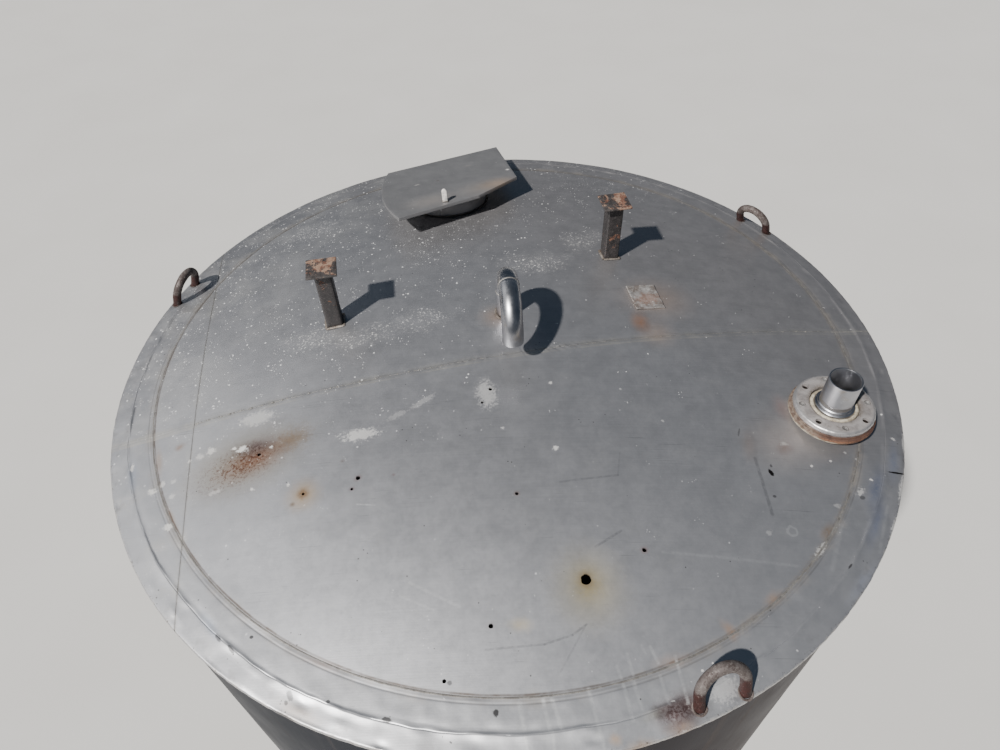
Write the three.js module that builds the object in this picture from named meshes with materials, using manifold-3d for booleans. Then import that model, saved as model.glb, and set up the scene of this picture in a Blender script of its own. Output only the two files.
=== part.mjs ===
// Vertical storage tank: a round upright shell with a shallow domed roof and its fittings.
// Millimetres, +Z up. The origin is the middle of the foot, at floor level.

import * as THREE from 'three';
import { mergeVertices } from 'three/addons/utils/BufferGeometryUtils.js';
import Module from 'manifold-3d';

const wasm = await Module();
wasm.setup();

// Tank body
const LIP_RADIUS = 1200;
const WALL_RADIUS = 1194;
const WALL_THICKNESS = 6;
const LIP_HEIGHT = 4900;
const WALL_TOP = LIP_HEIGHT - 3;
const COURSES = 4;
const SHEETS_PER_COURSE = 3;
const COURSE_TURN = 40;
const FIRST_SEAM = -90;
const GAP = 0.3;
const STEPS_ROUND = 96;

// Foot
const FOOT_OUTER = 1215;
const FOOT_INNER = 1120;
const FOOT_THICKNESS = 12;
const FLOOR_PLATE_RADIUS = 1187;
const FLOOR_PLATE_THICKNESS = 6;

// Roof, heights above the lip
const FOLD_RADIUS = 1145;
const FOLD_RISE = 12.7;
const WELD_RADIUS = 1073;
const WELD_RISE = 24;
const CROWN_RISE = 126;
const CROWN_RADII = [0, 180, 360, 540, 720, 900];
const ROOF_THICKNESS = 4;
const LIP_DROP = 14;
const LIP_THICKNESS = 3;

// Roof sheets lie turned about the axis
const SHEET_ANGLE = THREE.MathUtils.degToRad(9.45);
const CROSS_SEAM = -145;
const LEFT_SEAM = -938;

// Top nozzle
const NOZZLE_X = 922;
const NOZZLE_Y = -336;
const NECK_RADIUS = 57.15;
const NECK_BORE = 51;
const NECK_BOTTOM = -30;
const FLANGE_SEAT = 70;
const LOWER_FLANGE_RADIUS = 117;
const LOWER_FLANGE_THICKNESS = 14;
const LOOSE_FLANGE_RADIUS = 110;
const LOOSE_FLANGE_BORE = 66.5;
const LOOSE_FLANGE_THICKNESS = 18;
const BOLT_CIRCLE = 90;
const BOLT_HOLE = 9;
const BOLT_COUNT = 8;
const STUB_FLARE = 79;
const STUB_COLLAR = 54;
const STUB_RADIUS = 44.45;
const STUB_BORE = 40;
const STUB_TOP = 205;

// Gooseneck vent
const VENT_X = 14;
const VENT_Y = 34;
const VENT_RADIUS = 30.15;
const VENT_BORE = 27;
const VENT_BEND = 109;
const VENT_SPRING = 240;
const VENT_TURN = THREE.MathUtils.degToRad(-86);

// Lifting lugs: azimuth, circle, twist and lean of each, angles in degrees
const LUG_BAR = 13.45;
const LUG_SPREAD = 56;
const LUG_LEG = 38;
const LUG_BOW = 64.6;
const LUG_PLACES = {
  lug_front: [-67.2, 1176, -7, 19.6],
  lug_rear_right: [33.3, 1162, 9, 24],
  lug_rear_left: [163, 1172, 0, 20],
};

// Rear hatch
const HATCH_X = -207;
const HATCH_Y = 868;
const HATCH_TURN = THREE.MathUtils.degToRad(24.5);
const HATCH_CORNERS = [[20, -300], [212, -218], [290, 137]];
const HATCH_END_RADIUS = 640;
const HATCH_END_CENTRE = [337, -240];
const HATCH_END_FROM = 120;
const HATCH_END_TO = -326;
const HATCH_SHEET = 3;
const HATCH_SKIRT = 14;
const HATCH_HEIGHT = 76;
const TAB_PLACE = [-107, -286];
const TAB_HEIGHT = 46;
const TAB_TURN = THREE.MathUtils.degToRad(-24);
const CURB_CENTRE = [-25, -100];
const CURB_RADIUS = 140;
const CURB_WALL = 6;

// Uprights
const POST_SIDE = 50;
const POST_TOP = 330;
const SADDLE_SIDE = 90;
const SADDLE_THICKNESS = 6;
const POSTS = { post_left: [-527, 49], post_right: [374, 343] };

// Pad plate
const PAD_X = 461;
const PAD_Y = 112;
const PAD_LENGTH = 95;
const PAD_WIDTH = 112;
const PAD_THICKNESS = 8;

const tank = new THREE.Group();
tank.name = 'storage_tank';

function steel(color, roughness, metalness) {
  return new THREE.MeshStandardMaterial({ color, roughness, metalness });
}

const wallSteel = () => steel(0x8c8886, 0.32, 0.9);
const roofSteel = () => steel(0x96989e, 0.38, 0.85);
const rustySteel = () => steel(0xa86c48, 0.8, 0.3);
const flangeSteel = () => steel(0xb8b9be, 0.4, 0.8);
const lugSteel = () => steel(0x7a5648, 0.65, 0.5);
const pipeSteel = () => steel(0xb4b6ba, 0.25, 0.95);
const blackPaint = () => steel(0x1c1b1c, 0.6, 0.2);

function add(name, geometry, material) {
  const mesh = new THREE.Mesh(geometry, material);
  mesh.name = name;
  tank.add(mesh);
  return mesh;
}

// A closed geometry becomes a solid that can be joined or cut
function toSolid(geometry) {
  const plain = geometry.index ? geometry.toNonIndexed() : geometry.clone();
  plain.deleteAttribute('normal');
  plain.deleteAttribute('uv');
  const merged = mergeVertices(plain, 1e-3);
  const kept = [];
  const index = merged.index.array;
  for (let i = 0; i < index.length; i += 3) {
    const a = index[i];
    const b = index[i + 1];
    const c = index[i + 2];
    if (a !== b && b !== c && c !== a) kept.push(a, b, c);
  }
  return new wasm.Manifold(new wasm.Mesh({
    numProp: 3,
    vertProperties: new Float32Array(merged.attributes.position.array),
    triVerts: new Uint32Array(kept),
  }));
}

function toGeometry(solid) {
  const mesh = solid.getMesh();
  const geometry = new THREE.BufferGeometry();
  const points = new Float32Array(mesh.numVert * 3);
  for (let i = 0; i < mesh.numVert; i += 1) {
    points[3 * i] = mesh.vertProperties[mesh.numProp * i];
    points[3 * i + 1] = mesh.vertProperties[mesh.numProp * i + 1];
    points[3 * i + 2] = mesh.vertProperties[mesh.numProp * i + 2];
  }
  geometry.setAttribute('position', new THREE.BufferAttribute(points, 3));
  geometry.setIndex(Array.from(mesh.triVerts));
  geometry.computeVertexNormals();
  return geometry;
}

// Turned piece about the Z axis from [radius, height] points, listed anticlockwise
function turned(profile, steps = STEPS_ROUND) {
  const points = profile.map(([r, z]) => new THREE.Vector2(r, z));
  if (profile[0][0] > 0) points.push(points[0].clone());
  const geometry = new THREE.LatheGeometry(points, steps);
  geometry.rotateX(Math.PI / 2);
  return geometry;
}

// Part of a round ring, angles in degrees
function arcPlate(inner, outer, from, to, low, high, steps) {
  const shape = new THREE.Shape();
  for (let i = 0; i <= steps; i += 1) {
    const a = THREE.MathUtils.degToRad(from + ((to - from) * i) / steps);
    const x = outer * Math.cos(a);
    const y = outer * Math.sin(a);
    if (i === 0) shape.moveTo(x, y);
    else shape.lineTo(x, y);
  }
  for (let i = steps; i >= 0; i -= 1) {
    const a = THREE.MathUtils.degToRad(from + ((to - from) * i) / steps);
    shape.lineTo(inner * Math.cos(a), inner * Math.sin(a));
  }
  shape.closePath();
  const geometry = new THREE.ExtrudeGeometry(shape, { depth: high - low, bevelEnabled: false });
  geometry.translate(0, 0, low);
  return geometry;
}

// Height of the roof's top face above the lip
function roofRise(radius) {
  if (radius <= WELD_RADIUS) {
    return WELD_RISE + CROWN_RISE * (1 - (radius / WELD_RADIUS) ** 2);
  }
  if (radius <= FOLD_RADIUS) {
    const t = (radius - WELD_RADIUS) / (FOLD_RADIUS - WELD_RADIUS);
    return WELD_RISE + (FOLD_RISE - WELD_RISE) * t;
  }
  const t = (radius - FOLD_RADIUS) / (LIP_RADIUS - FOLD_RADIUS);
  return FOLD_RISE * (1 - t);
}

// Downward slope of the crown at a radius
function crownSlope(radius) {
  return (2 * CROWN_RISE * radius) / WELD_RADIUS ** 2;
}

// Everything under the roof's top face, lifted by the working gap
function underRoof() {
  const radii = [...CROWN_RADII, WELD_RADIUS, FOLD_RADIUS, LIP_RADIUS];
  const outside = LIP_RADIUS + 60;
  const profile = [
    [0, LIP_HEIGHT - 300],
    [outside, LIP_HEIGHT - 300],
    [outside, LIP_HEIGHT + GAP],
  ];
  for (let i = radii.length - 1; i >= 0; i -= 1) {
    profile.push([radii[i], LIP_HEIGHT + roofRise(radii[i]) + GAP]);
  }
  return toSolid(turned(profile));
}

const below = underRoof();

// A piece that stands on the roof is trimmed to the roof's shape
function seated(geometry) {
  return toGeometry(toSolid(geometry).subtract(below));
}

function boxSolid(x0, x1, y0, y1, z0, z1, turn = 0) {
  const box = new THREE.BoxGeometry(x1 - x0, y1 - y0, z1 - z0);
  box.translate((x0 + x1) / 2, (y0 + y1) / 2, (z0 + z1) / 2);
  box.rotateZ(turn);
  return toSolid(box);
}

// Foot ring in three arcs and the round floor plate on it
for (let i = 0; i < 3; i += 1) {
  const from = 30 + 120 * i;
  const side = THREE.MathUtils.radToDeg(GAP / 2 / FOOT_INNER);
  const arc = arcPlate(FOOT_INNER, FOOT_OUTER, from + side, from + 120 - side, 0, FOOT_THICKNESS, 32);
  add(`base_ring_${i + 1}`, arc, rustySteel());
}
const floorLow = FOOT_THICKNESS + GAP;
const floorHigh = floorLow + FLOOR_PLATE_THICKNESS;
add(
  'bottom_plate',
  turned([[0, floorLow], [FLOOR_PLATE_RADIUS, floorLow], [FLOOR_PLATE_RADIUS, floorHigh], [0, floorHigh]]),
  wallSteel(),
);

// Wall: courses of rolled sheets with the upright seams staggered
const wallBottom = FOOT_THICKNESS + GAP;
const courseHeight = (WALL_TOP - wallBottom) / COURSES;
const letters = ['a', 'b', 'c'];
for (let c = 0; c < COURSES; c += 1) {
  const low = wallBottom + c * courseHeight;
  const high = low + courseHeight - (c < COURSES - 1 ? GAP : 0);
  const span = 360 / SHEETS_PER_COURSE;
  const side = THREE.MathUtils.radToDeg(GAP / 2 / WALL_RADIUS);
  for (let s = 0; s < SHEETS_PER_COURSE; s += 1) {
    const from = FIRST_SEAM + c * COURSE_TURN + s * span;
    const sheet = arcPlate(
      WALL_RADIUS - WALL_THICKNESS,
      WALL_RADIUS,
      from + side,
      from + span - side,
      low,
      high,
      32,
    );
    add(`shell_${c + 1}_${letters[s]}`, sheet, wallSteel());
  }
}

// Roof plates, cut from one turned shape along the straight sheet seams
const wide = 3000;
const seamHalf = GAP / 2;
const leftOfSeam = boxSolid(-wide, LEFT_SEAM - seamHalf, -wide, wide, 0, 6000, SHEET_ANGLE);
const rightFront = boxSolid(
  LEFT_SEAM + seamHalf,
  wide,
  -wide,
  CROSS_SEAM - seamHalf,
  0,
  6000,
  SHEET_ANGLE,
);
const rightRear = boxSolid(
  LEFT_SEAM + seamHalf,
  wide,
  CROSS_SEAM + seamHalf,
  wide,
  0,
  6000,
  SHEET_ANGLE,
);

const crownEdge = WELD_RADIUS - GAP;
const crownProfile = [[0, LIP_HEIGHT + WELD_RISE + CROWN_RISE - ROOF_THICKNESS]];
for (let i = 1; i < CROWN_RADII.length; i += 1) {
  crownProfile.push([CROWN_RADII[i], LIP_HEIGHT + roofRise(CROWN_RADII[i]) - ROOF_THICKNESS]);
}
crownProfile.push([crownEdge, LIP_HEIGHT + WELD_RISE - ROOF_THICKNESS]);
crownProfile.push([crownEdge, LIP_HEIGHT + WELD_RISE]);
for (let i = CROWN_RADII.length - 1; i >= 0; i -= 1) {
  crownProfile.push([CROWN_RADII[i], LIP_HEIGHT + roofRise(CROWN_RADII[i])]);
}
const crown = toSolid(turned(crownProfile));

const lip = LIP_HEIGHT;
const edgeProfile = [
  [WELD_RADIUS, lip + WELD_RISE - ROOF_THICKNESS],
  [FOLD_RADIUS, lip + FOLD_RISE - ROOF_THICKNESS],
  [LIP_RADIUS - LIP_THICKNESS, lip - ROOF_THICKNESS + 0.7],
  [LIP_RADIUS - LIP_THICKNESS, lip - LIP_DROP],
  [LIP_RADIUS, lip - LIP_DROP],
  [LIP_RADIUS, lip],
  [FOLD_RADIUS, lip + FOLD_RISE],
  [WELD_RADIUS, lip + WELD_RISE],
];
const edge = toSolid(turned(edgeProfile));

const nozzleHole = new THREE.CylinderGeometry(NECK_RADIUS + GAP, NECK_RADIUS + GAP, 400, 48);
nozzleHole.rotateX(Math.PI / 2);
nozzleHole.translate(NOZZLE_X, NOZZLE_Y, LIP_HEIGHT);
const ventHole = new THREE.CylinderGeometry(VENT_BORE, VENT_BORE, 400, 24);
ventHole.rotateX(Math.PI / 2);
ventHole.translate(VENT_X, VENT_Y, LIP_HEIGHT + 100);

add('crown_front', toGeometry(crown.intersect(rightFront).subtract(toSolid(nozzleHole))), roofSteel());
add('crown_rear', toGeometry(crown.intersect(rightRear).subtract(toSolid(ventHole))), roofSteel());
add('crown_left', toGeometry(crown.intersect(leftOfSeam)), roofSteel());
add('roof_edge_front', toGeometry(edge.intersect(rightFront)), roofSteel());
add('roof_edge_rear', toGeometry(edge.intersect(rightRear)), roofSteel());
add('roof_edge_left', toGeometry(edge.intersect(leftOfSeam)), roofSteel());

// Top nozzle: neck through the crown, lower flange, flared stub and loose flange
const nozzle = new THREE.Group();
nozzle.position.set(NOZZLE_X, NOZZLE_Y, LIP_HEIGHT);
tank.add(nozzle);

function addTo(group, name, geometry, material) {
  const mesh = new THREE.Mesh(geometry, material);
  mesh.name = name;
  group.add(mesh);
  return mesh;
}

const lowerTop = FLANGE_SEAT + LOWER_FLANGE_THICKNESS;
addTo(nozzle, 'nozzle_neck', turned([
  [NECK_BORE, NECK_BOTTOM],
  [NECK_RADIUS, NECK_BOTTOM],
  [NECK_RADIUS, lowerTop],
  [NECK_BORE, lowerTop],
], 48), pipeSteel());
addTo(nozzle, 'nozzle_lower_flange', turned([
  [NECK_RADIUS + GAP, FLANGE_SEAT],
  [LOWER_FLANGE_RADIUS, FLANGE_SEAT],
  [LOWER_FLANGE_RADIUS, lowerTop],
  [NECK_RADIUS + GAP, lowerTop],
], 48), rustySteel());

const flareLow = lowerTop + GAP;
const flareHigh = flareLow + 4;
addTo(nozzle, 'nozzle_stub', turned([
  [STUB_BORE, flareLow],
  [STUB_FLARE, flareLow],
  [STUB_FLARE, flareHigh],
  [STUB_COLLAR, flareHigh],
  [STUB_COLLAR, flareHigh + 22],
  [STUB_RADIUS, flareHigh + 26],
  [STUB_RADIUS, STUB_TOP],
  [STUB_BORE, STUB_TOP],
], 48), pipeSteel());

function ringPoints(x, y, radius, count) {
  const points = [];
  for (let i = 0; i < count; i += 1) {
    const a = (2 * Math.PI * i) / count;
    points.push(new THREE.Vector2(x + radius * Math.cos(a), y + radius * Math.sin(a)));
  }
  return points;
}

const looseShape = new THREE.Shape(ringPoints(0, 0, LOOSE_FLANGE_RADIUS, 48));
looseShape.holes.push(new THREE.Path(ringPoints(0, 0, LOOSE_FLANGE_BORE, 40)));
for (let i = 0; i < BOLT_COUNT; i += 1) {
  const a = THREE.MathUtils.degToRad(44 + (360 / BOLT_COUNT) * i);
  const x = BOLT_CIRCLE * Math.cos(a);
  const y = BOLT_CIRCLE * Math.sin(a);
  looseShape.holes.push(new THREE.Path(ringPoints(x, y, BOLT_HOLE, 14)));
}
const loose = new THREE.ExtrudeGeometry(looseShape, {
  depth: LOOSE_FLANGE_THICKNESS,
  bevelEnabled: false,
});
loose.translate(0, 0, flareHigh + GAP);
addTo(nozzle, 'nozzle_loose_flange', loose, flangeSteel());

// Gooseneck vent: riser and two elbows, the mouth looking down
const vent = new THREE.Group();
vent.position.set(VENT_X, VENT_Y, LIP_HEIGHT);
vent.rotation.z = VENT_TURN;
tank.add(vent);

class Arc extends THREE.Curve {
  constructor(centre, radius, from, to) {
    super();
    this.centre = centre;
    this.radius = radius;
    this.from = from;
    this.to = to;
  }

  getPoint(t, target = new THREE.Vector3()) {
    const a = this.from + (this.to - this.from) * t;
    return target.set(
      this.centre.x + this.radius * Math.cos(a),
      this.centre.y,
      this.centre.z + this.radius * Math.sin(a),
    );
  }
}

function pipeShape(outer, inner) {
  const shape = new THREE.Shape();
  shape.absarc(0, 0, outer, 0, 2 * Math.PI, false);
  if (inner > 0) {
    const hole = new THREE.Path();
    hole.absarc(0, 0, inner, 0, 2 * Math.PI, true);
    shape.holes.push(hole);
  }
  return shape;
}

function bend(from, to) {
  const path = new Arc(new THREE.Vector3(VENT_BEND, 0, VENT_SPRING), VENT_BEND, from, to);
  return new THREE.ExtrudeGeometry(pipeShape(VENT_RADIUS, VENT_BORE), {
    steps: 9,
    curveSegments: 10,
    extrudePath: path,
  });
}

const ventFoot = roofRise(0) + GAP;
const riser = new THREE.ExtrudeGeometry(pipeShape(VENT_RADIUS, VENT_BORE), {
  depth: VENT_SPRING - GAP - ventFoot,
  curveSegments: 10,
  bevelEnabled: false,
});
riser.translate(0, 0, ventFoot);
addTo(vent, 'vent_riser', riser, pipeSteel());
const joint = GAP / 2 / VENT_BEND;
addTo(vent, 'vent_elbow_rear', bend(Math.PI, Math.PI / 2 + joint), pipeSteel());
addTo(vent, 'vent_elbow_front', bend(Math.PI / 2 - joint, 0), pipeSteel());

// Lifting lugs: round bar bent to an arch, both feet welded to the sloping band
class Arch extends THREE.Curve {
  constructor(spread, leg, bow, sink) {
    super();
    this.spread = spread;
    this.top = leg;
    this.bow = bow;
    this.sink = sink;
    this.leg = leg + sink;
    this.half = (Math.PI / 2) * (spread + bow);
    this.total = 2 * this.leg + this.half;
  }

  getPoint(t, target = new THREE.Vector3()) {
    const s = t * this.total;
    if (s <= this.leg) return target.set(0, -this.spread, s - this.sink);
    if (s >= this.leg + this.half) return target.set(0, this.spread, this.total - s - this.sink);
    const a = (Math.PI * (s - this.leg)) / this.half;
    return target.set(0, -this.spread * Math.cos(a), this.top + this.bow * Math.sin(a));
  }
}

for (const [name, [place, circle, twist, lean]] of Object.entries(LUG_PLACES)) {
  const bar = new THREE.ExtrudeGeometry(pipeShape(LUG_BAR, 0), {
    steps: 20,
    curveSegments: 6,
    extrudePath: new Arch(LUG_SPREAD, LUG_LEG, LUG_BOW, 30),
  });
  bar.rotateY(THREE.MathUtils.degToRad(-lean));
  bar.rotateZ(THREE.MathUtils.degToRad(twist));
  bar.translate(circle, 0, LIP_HEIGHT + roofRise(circle));
  bar.rotateZ(THREE.MathUtils.degToRad(place));
  add(name, seated(bar), lugSteel());
}

// Rear hatch: low round curb, flat sheet cover with turned-down edges, upright tab
const hatchRadius = Math.hypot(HATCH_X, HATCH_Y);
const hatchTilt = Math.atan(crownSlope(hatchRadius));
const hatchAzimuth = Math.atan2(HATCH_Y, HATCH_X);

function placeOnCrown(geometry) {
  geometry.rotateZ(HATCH_TURN - hatchAzimuth);
  geometry.rotateY(hatchTilt);
  geometry.rotateZ(hatchAzimuth);
  geometry.translate(HATCH_X, HATCH_Y, LIP_HEIGHT + roofRise(hatchRadius));
  return geometry;
}

const curb = turned([
  [CURB_RADIUS - CURB_WALL, -40],
  [CURB_RADIUS, -40],
  [CURB_RADIUS, HATCH_HEIGHT],
  [CURB_RADIUS - CURB_WALL, HATCH_HEIGHT],
], 36);
curb.translate(CURB_CENTRE[0], CURB_CENTRE[1], 0);
add('hatch_curb', seated(placeOnCrown(curb)), roofSteel());

// The cover: straight sides with one trimmed corner, and a wide curve at its left end
function coverOutline() {
  const [cx, cy] = HATCH_END_CENTRE;
  const points = HATCH_CORNERS.map((corner) => [...corner]);
  for (let i = 0; i <= 8; i += 1) {
    const y = HATCH_END_FROM + ((HATCH_END_TO - HATCH_END_FROM) * i) / 8;
    points.push([cx - Math.sqrt(HATCH_END_RADIUS ** 2 - (y - cy) ** 2), y]);
  }
  return points;
}

// Moves every side of a convex outline inward by the same distance
function insetOutline(points, distance) {
  const sides = points.map(([x, y], i) => {
    const [nx, ny] = points[(i + 1) % points.length];
    const length = Math.hypot(nx - x, ny - y);
    const inward = [-(ny - y) / length, (nx - x) / length];
    return [...inward, inward[0] * x + inward[1] * y + distance];
  });
  return points.map((_, i) => {
    const [a, b, c] = sides[(i + sides.length - 1) % sides.length];
    const [d, e, f] = sides[i];
    const scale = a * e - b * d;
    return [(c * e - b * f) / scale, (a * f - c * d) / scale];
  });
}

function coverSolid(inset, low, high) {
  const shape = new THREE.Shape();
  insetOutline(coverOutline(), inset).forEach(([x, y], i) => {
    if (i === 0) shape.moveTo(x, y);
    else shape.lineTo(x, y);
  });
  shape.closePath();
  const geometry = new THREE.ExtrudeGeometry(shape, { depth: high - low, bevelEnabled: false });
  geometry.translate(0, 0, low);
  return toSolid(geometry);
}

const coverTop = HATCH_HEIGHT + GAP + HATCH_SHEET;
const coverOuter = coverSolid(0, coverTop - HATCH_SKIRT, coverTop);
const coverInner = coverSolid(HATCH_SHEET, coverTop - HATCH_SKIRT - 10, coverTop - HATCH_SHEET);
add('hatch_cover', placeOnCrown(toGeometry(coverOuter.subtract(coverInner))), roofSteel());

const tab = new THREE.BoxGeometry(18, 8, TAB_HEIGHT);
tab.rotateZ(TAB_TURN);
tab.translate(TAB_PLACE[0], TAB_PLACE[1], coverTop + GAP + TAB_HEIGHT / 2);
add('hatch_tab', placeOnCrown(tab), flangeSteel());

// Two square uprights with flat saddles
for (const [name, [x, y]] of Object.entries(POSTS)) {
  const post = new THREE.BoxGeometry(POST_SIDE, POST_SIDE, POST_TOP);
  post.translate(0, 0, POST_TOP / 2);
  post.rotateZ(SHEET_ANGLE);
  post.translate(x, y, LIP_HEIGHT);
  add(name, seated(post), blackPaint());
  const saddle = new THREE.BoxGeometry(SADDLE_SIDE, SADDLE_SIDE, SADDLE_THICKNESS);
  saddle.rotateZ(SHEET_ANGLE);
  saddle.translate(x, y, LIP_HEIGHT + POST_TOP + GAP + SADDLE_THICKNESS / 2);
  add(`${name}_saddle`, saddle, blackPaint());
}

// Pad plate lying on the crown
const padRadius = Math.hypot(PAD_X, PAD_Y);
const padTilt = Math.atan(crownSlope(padRadius));
const padAzimuth = Math.atan2(PAD_Y, PAD_X);
const pad = new THREE.BoxGeometry(PAD_LENGTH, PAD_WIDTH, 2 * PAD_THICKNESS);
pad.rotateZ(SHEET_ANGLE - padAzimuth);
pad.rotateY(padTilt);
pad.rotateZ(padAzimuth);
pad.translate(PAD_X, PAD_Y, LIP_HEIGHT + roofRise(padRadius));
add('pad_plate', seated(pad), roofSteel());

export default tank;
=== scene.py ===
import math
import random

import bmesh
import bpy
from mathutils import Matrix, Vector, noise


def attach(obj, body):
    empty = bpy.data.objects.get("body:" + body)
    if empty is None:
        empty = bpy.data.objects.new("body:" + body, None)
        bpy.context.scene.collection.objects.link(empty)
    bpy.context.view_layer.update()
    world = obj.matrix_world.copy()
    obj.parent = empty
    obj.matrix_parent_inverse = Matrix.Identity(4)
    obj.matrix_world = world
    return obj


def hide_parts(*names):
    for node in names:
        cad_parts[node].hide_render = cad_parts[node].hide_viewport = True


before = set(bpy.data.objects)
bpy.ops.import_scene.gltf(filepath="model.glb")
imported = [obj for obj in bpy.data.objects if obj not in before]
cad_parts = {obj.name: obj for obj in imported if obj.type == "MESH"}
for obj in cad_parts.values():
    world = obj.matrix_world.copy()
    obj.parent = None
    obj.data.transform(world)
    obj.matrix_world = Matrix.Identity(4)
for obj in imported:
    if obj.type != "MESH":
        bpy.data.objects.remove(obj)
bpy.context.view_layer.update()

random.seed(11)

# sizes in metres; heights on the roof are measured from the lip
LIP = 4.900
LIP_R = 1.200
EDGE_R = 1.1972
WALL_R = 1.194
WALL_THICK = 0.006
FOLD_R = 1.145
FOLD_Z = 0.0127
WELD_R = 1.073
WELD_Z = 0.024
RISE = 0.126
ROOF_THICK = 0.004
SEAM_GAP = 0.0008
SHEET = math.radians(9.45)
ALONG = (math.cos(SHEET), math.sin(SHEET), 0)
ACROSS = (-math.sin(SHEET), math.cos(SHEET), 0)
CROSS_V = -0.145
LEFT_U = -0.938
NOZZLE = (0.922, -0.336)
NOZZLE_HOLE = 0.0568
BOLT_CIRCLE = 0.090
BOLT_START = 44
VENT = (0.014, 0.034)
VENT_TURN = math.radians(-86)
VENT_BEND = 0.109
VENT_SPRING = 0.240
VENT_TUBE = 0.03015
VENT_BORE = 0.027
VENT_HOLE = 0.0290
LUG_BAR = 0.01345
LUG_SPREAD = 0.056
LUG_LEG = 0.038
LUG_BOW = 0.0646
LUGS = {
    # azimuth, circle, twist and lean
    "lug_front": (-67.2, 1.176, -7.0, 19.6),
    "lug_rear_right": (33.3, 1.162, 9.0, 24.0),
    "lug_rear_left": (163.0, 1.172, 0.0, 20.0),
}
HATCH = (-0.207, 0.868)
HATCH_TURN = math.radians(24.5)
HATCH_CORNERS = ((0.020, -0.300), (0.212, -0.218), (0.290, 0.137))
HATCH_TOP = 0.0793
HATCH_THICK = 0.0028
CURB_AT = (-0.025, -0.100)
CURB_WELD_R = 0.1445
TAB_AT = (-0.107, -0.286)
TAB_TURN = math.radians(-24)
TAB_HALF = (0.009, 0.004)
TAB_TALL = 0.037
POSTS = {"post_left": (-0.527, 0.049), "post_right": (0.374, 0.343)}
POST_TOP = 0.330
POST_SIDE = 0.050
SADDLE = (0.090, 0.090, 0.006)
PAD_AT = (0.461, 0.112)
PAD_SIZE = (0.095, 0.112)
PAD_THICK = 0.0048
UP = Vector((0, 0, 1))

# small functions for places and uneven surfaces


def turn_xy(u, v, a):
    return u * math.cos(a) - v * math.sin(a), u * math.sin(a) + v * math.cos(a)


def sheet_uv(x, y):
    return x * math.cos(SHEET) + y * math.sin(SHEET), -x * math.sin(SHEET) + y * math.cos(SHEET)


def n3(x, y, z=0.0):
    return noise.noise(Vector((x, y, z)))


def n2(x, y, scale, seed):
    """Smooth noise over a plane, finer with a larger scale."""
    return noise.noise(Vector((x * scale, y * scale, seed)))


def unit(value):
    return min(1.0, max(0.0, value))


def angles(count):
    return [2 * math.pi * i / count for i in range(count)]


def around(count, closed=True):
    """Cosine and sine at each step of a full turn, when closed with the start again at its end."""
    for i in range(count + 1 if closed else count):
        a = 2 * math.pi * i / count
        yield math.cos(a), math.sin(a)


def base_rise(r):
    """Height of the plain roof at a radius: domed crown, flat slope, outer slope."""
    if r <= WELD_R:
        return WELD_Z + RISE * (1 - (r / WELD_R) ** 2)
    if r <= FOLD_R:
        return WELD_Z + (FOLD_Z - WELD_Z) * (r - WELD_R) / (FOLD_R - WELD_R)
    return FOLD_Z * (1 - (r - FOLD_R) / (LIP_R - FOLD_R))


# mesh helpers


def add_object(name, me):
    ob = bpy.data.objects.new(name, me)
    bpy.context.scene.collection.objects.link(ob)
    return ob


def mesh_object(name, verts, faces):
    me = bpy.data.meshes.new(name)
    me.from_pydata([tuple(v) for v in verts], [], faces)
    me.validate()
    me.update()
    return add_object(name, me)


def bm_object(name, bm):
    """Makes an object of a bmesh and frees the bmesh."""
    me = bpy.data.meshes.new(name)
    bm.normal_update()
    bm.to_mesh(me)
    bm.free()
    return add_object(name, me)


def everything(bm):
    return bm.verts[:] + bm.edges[:] + bm.faces[:]


def sharp_by_angle(ob, degrees):
    bm = bmesh.new()
    bm.from_mesh(ob.data)
    for e in bm.edges:
        if len(e.link_faces) == 2 and e.calc_face_angle(0.0) > math.radians(degrees):
            e.smooth = False
    bm.to_mesh(ob.data)
    bm.free()


def finish_piece(ob, mat, node=None, sharp=None):
    """Gives a piece its material and its sharp edges, and hides the solid it stands for."""
    ob.data.materials.clear()
    ob.data.materials.append(mat)
    for p in ob.data.polygons:
        p.use_smooth = True
    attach(ob, "root")
    if node:
        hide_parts(node)
    if sharp:
        sharp_by_angle(ob, sharp)


def apply_all(ob):
    dg = bpy.context.evaluated_depsgraph_get()
    me = bpy.data.meshes.new_from_object(ob.evaluated_get(dg))
    ob.modifiers.clear()
    ob.data = me


def thicken(ob, thick):
    mod = ob.modifiers.new("thick", "SOLIDIFY")
    mod.thickness = thick
    mod.offset = -1.0
    mod.use_even_offset = True
    apply_all(ob)


def bevel(ob, width, segments, angle):
    mod = ob.modifiers.new("round", "BEVEL")
    mod.width = width
    mod.segments = segments
    mod.limit_method = "ANGLE"
    mod.angle_limit = math.radians(angle)
    apply_all(ob)


def subtract(ob, bm):
    """Cuts the shape in a bmesh out of an object."""
    tool = bm_object("cutting_tool", bm)
    mod = ob.modifiers.new("cut", "BOOLEAN")
    mod.operation = "DIFFERENCE"
    mod.solver = "EXACT"
    mod.object = tool
    apply_all(ob)
    bpy.data.objects.remove(tool)


def skin(rows, n, wrap_rows=False, wrap_points=False, flip=False):
    """Quads between neighbouring rows of n points each, as point numbers."""
    faces = []
    for i in range(rows if wrap_rows else rows - 1):
        j = (i + 1) % rows
        for k in range(n if wrap_points else n - 1):
            m = (k + 1) % n
            quad = (i * n + k, j * n + k, j * n + m, i * n + m)
            faces.append((quad[0], quad[3], quad[2], quad[1]) if flip else quad)
    return faces


def weave(bm, grid, **wraps):
    """Adds the quads between rows of bmesh points."""
    n = len(grid[0])
    for quad in skin(len(grid), n, **wraps):
        bm.faces.new([grid[q // n][q % n] for q in quad])


def caps(rows, n):
    return [tuple(reversed(range(n))), tuple((rows - 1) * n + s for s in range(n))]


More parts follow.
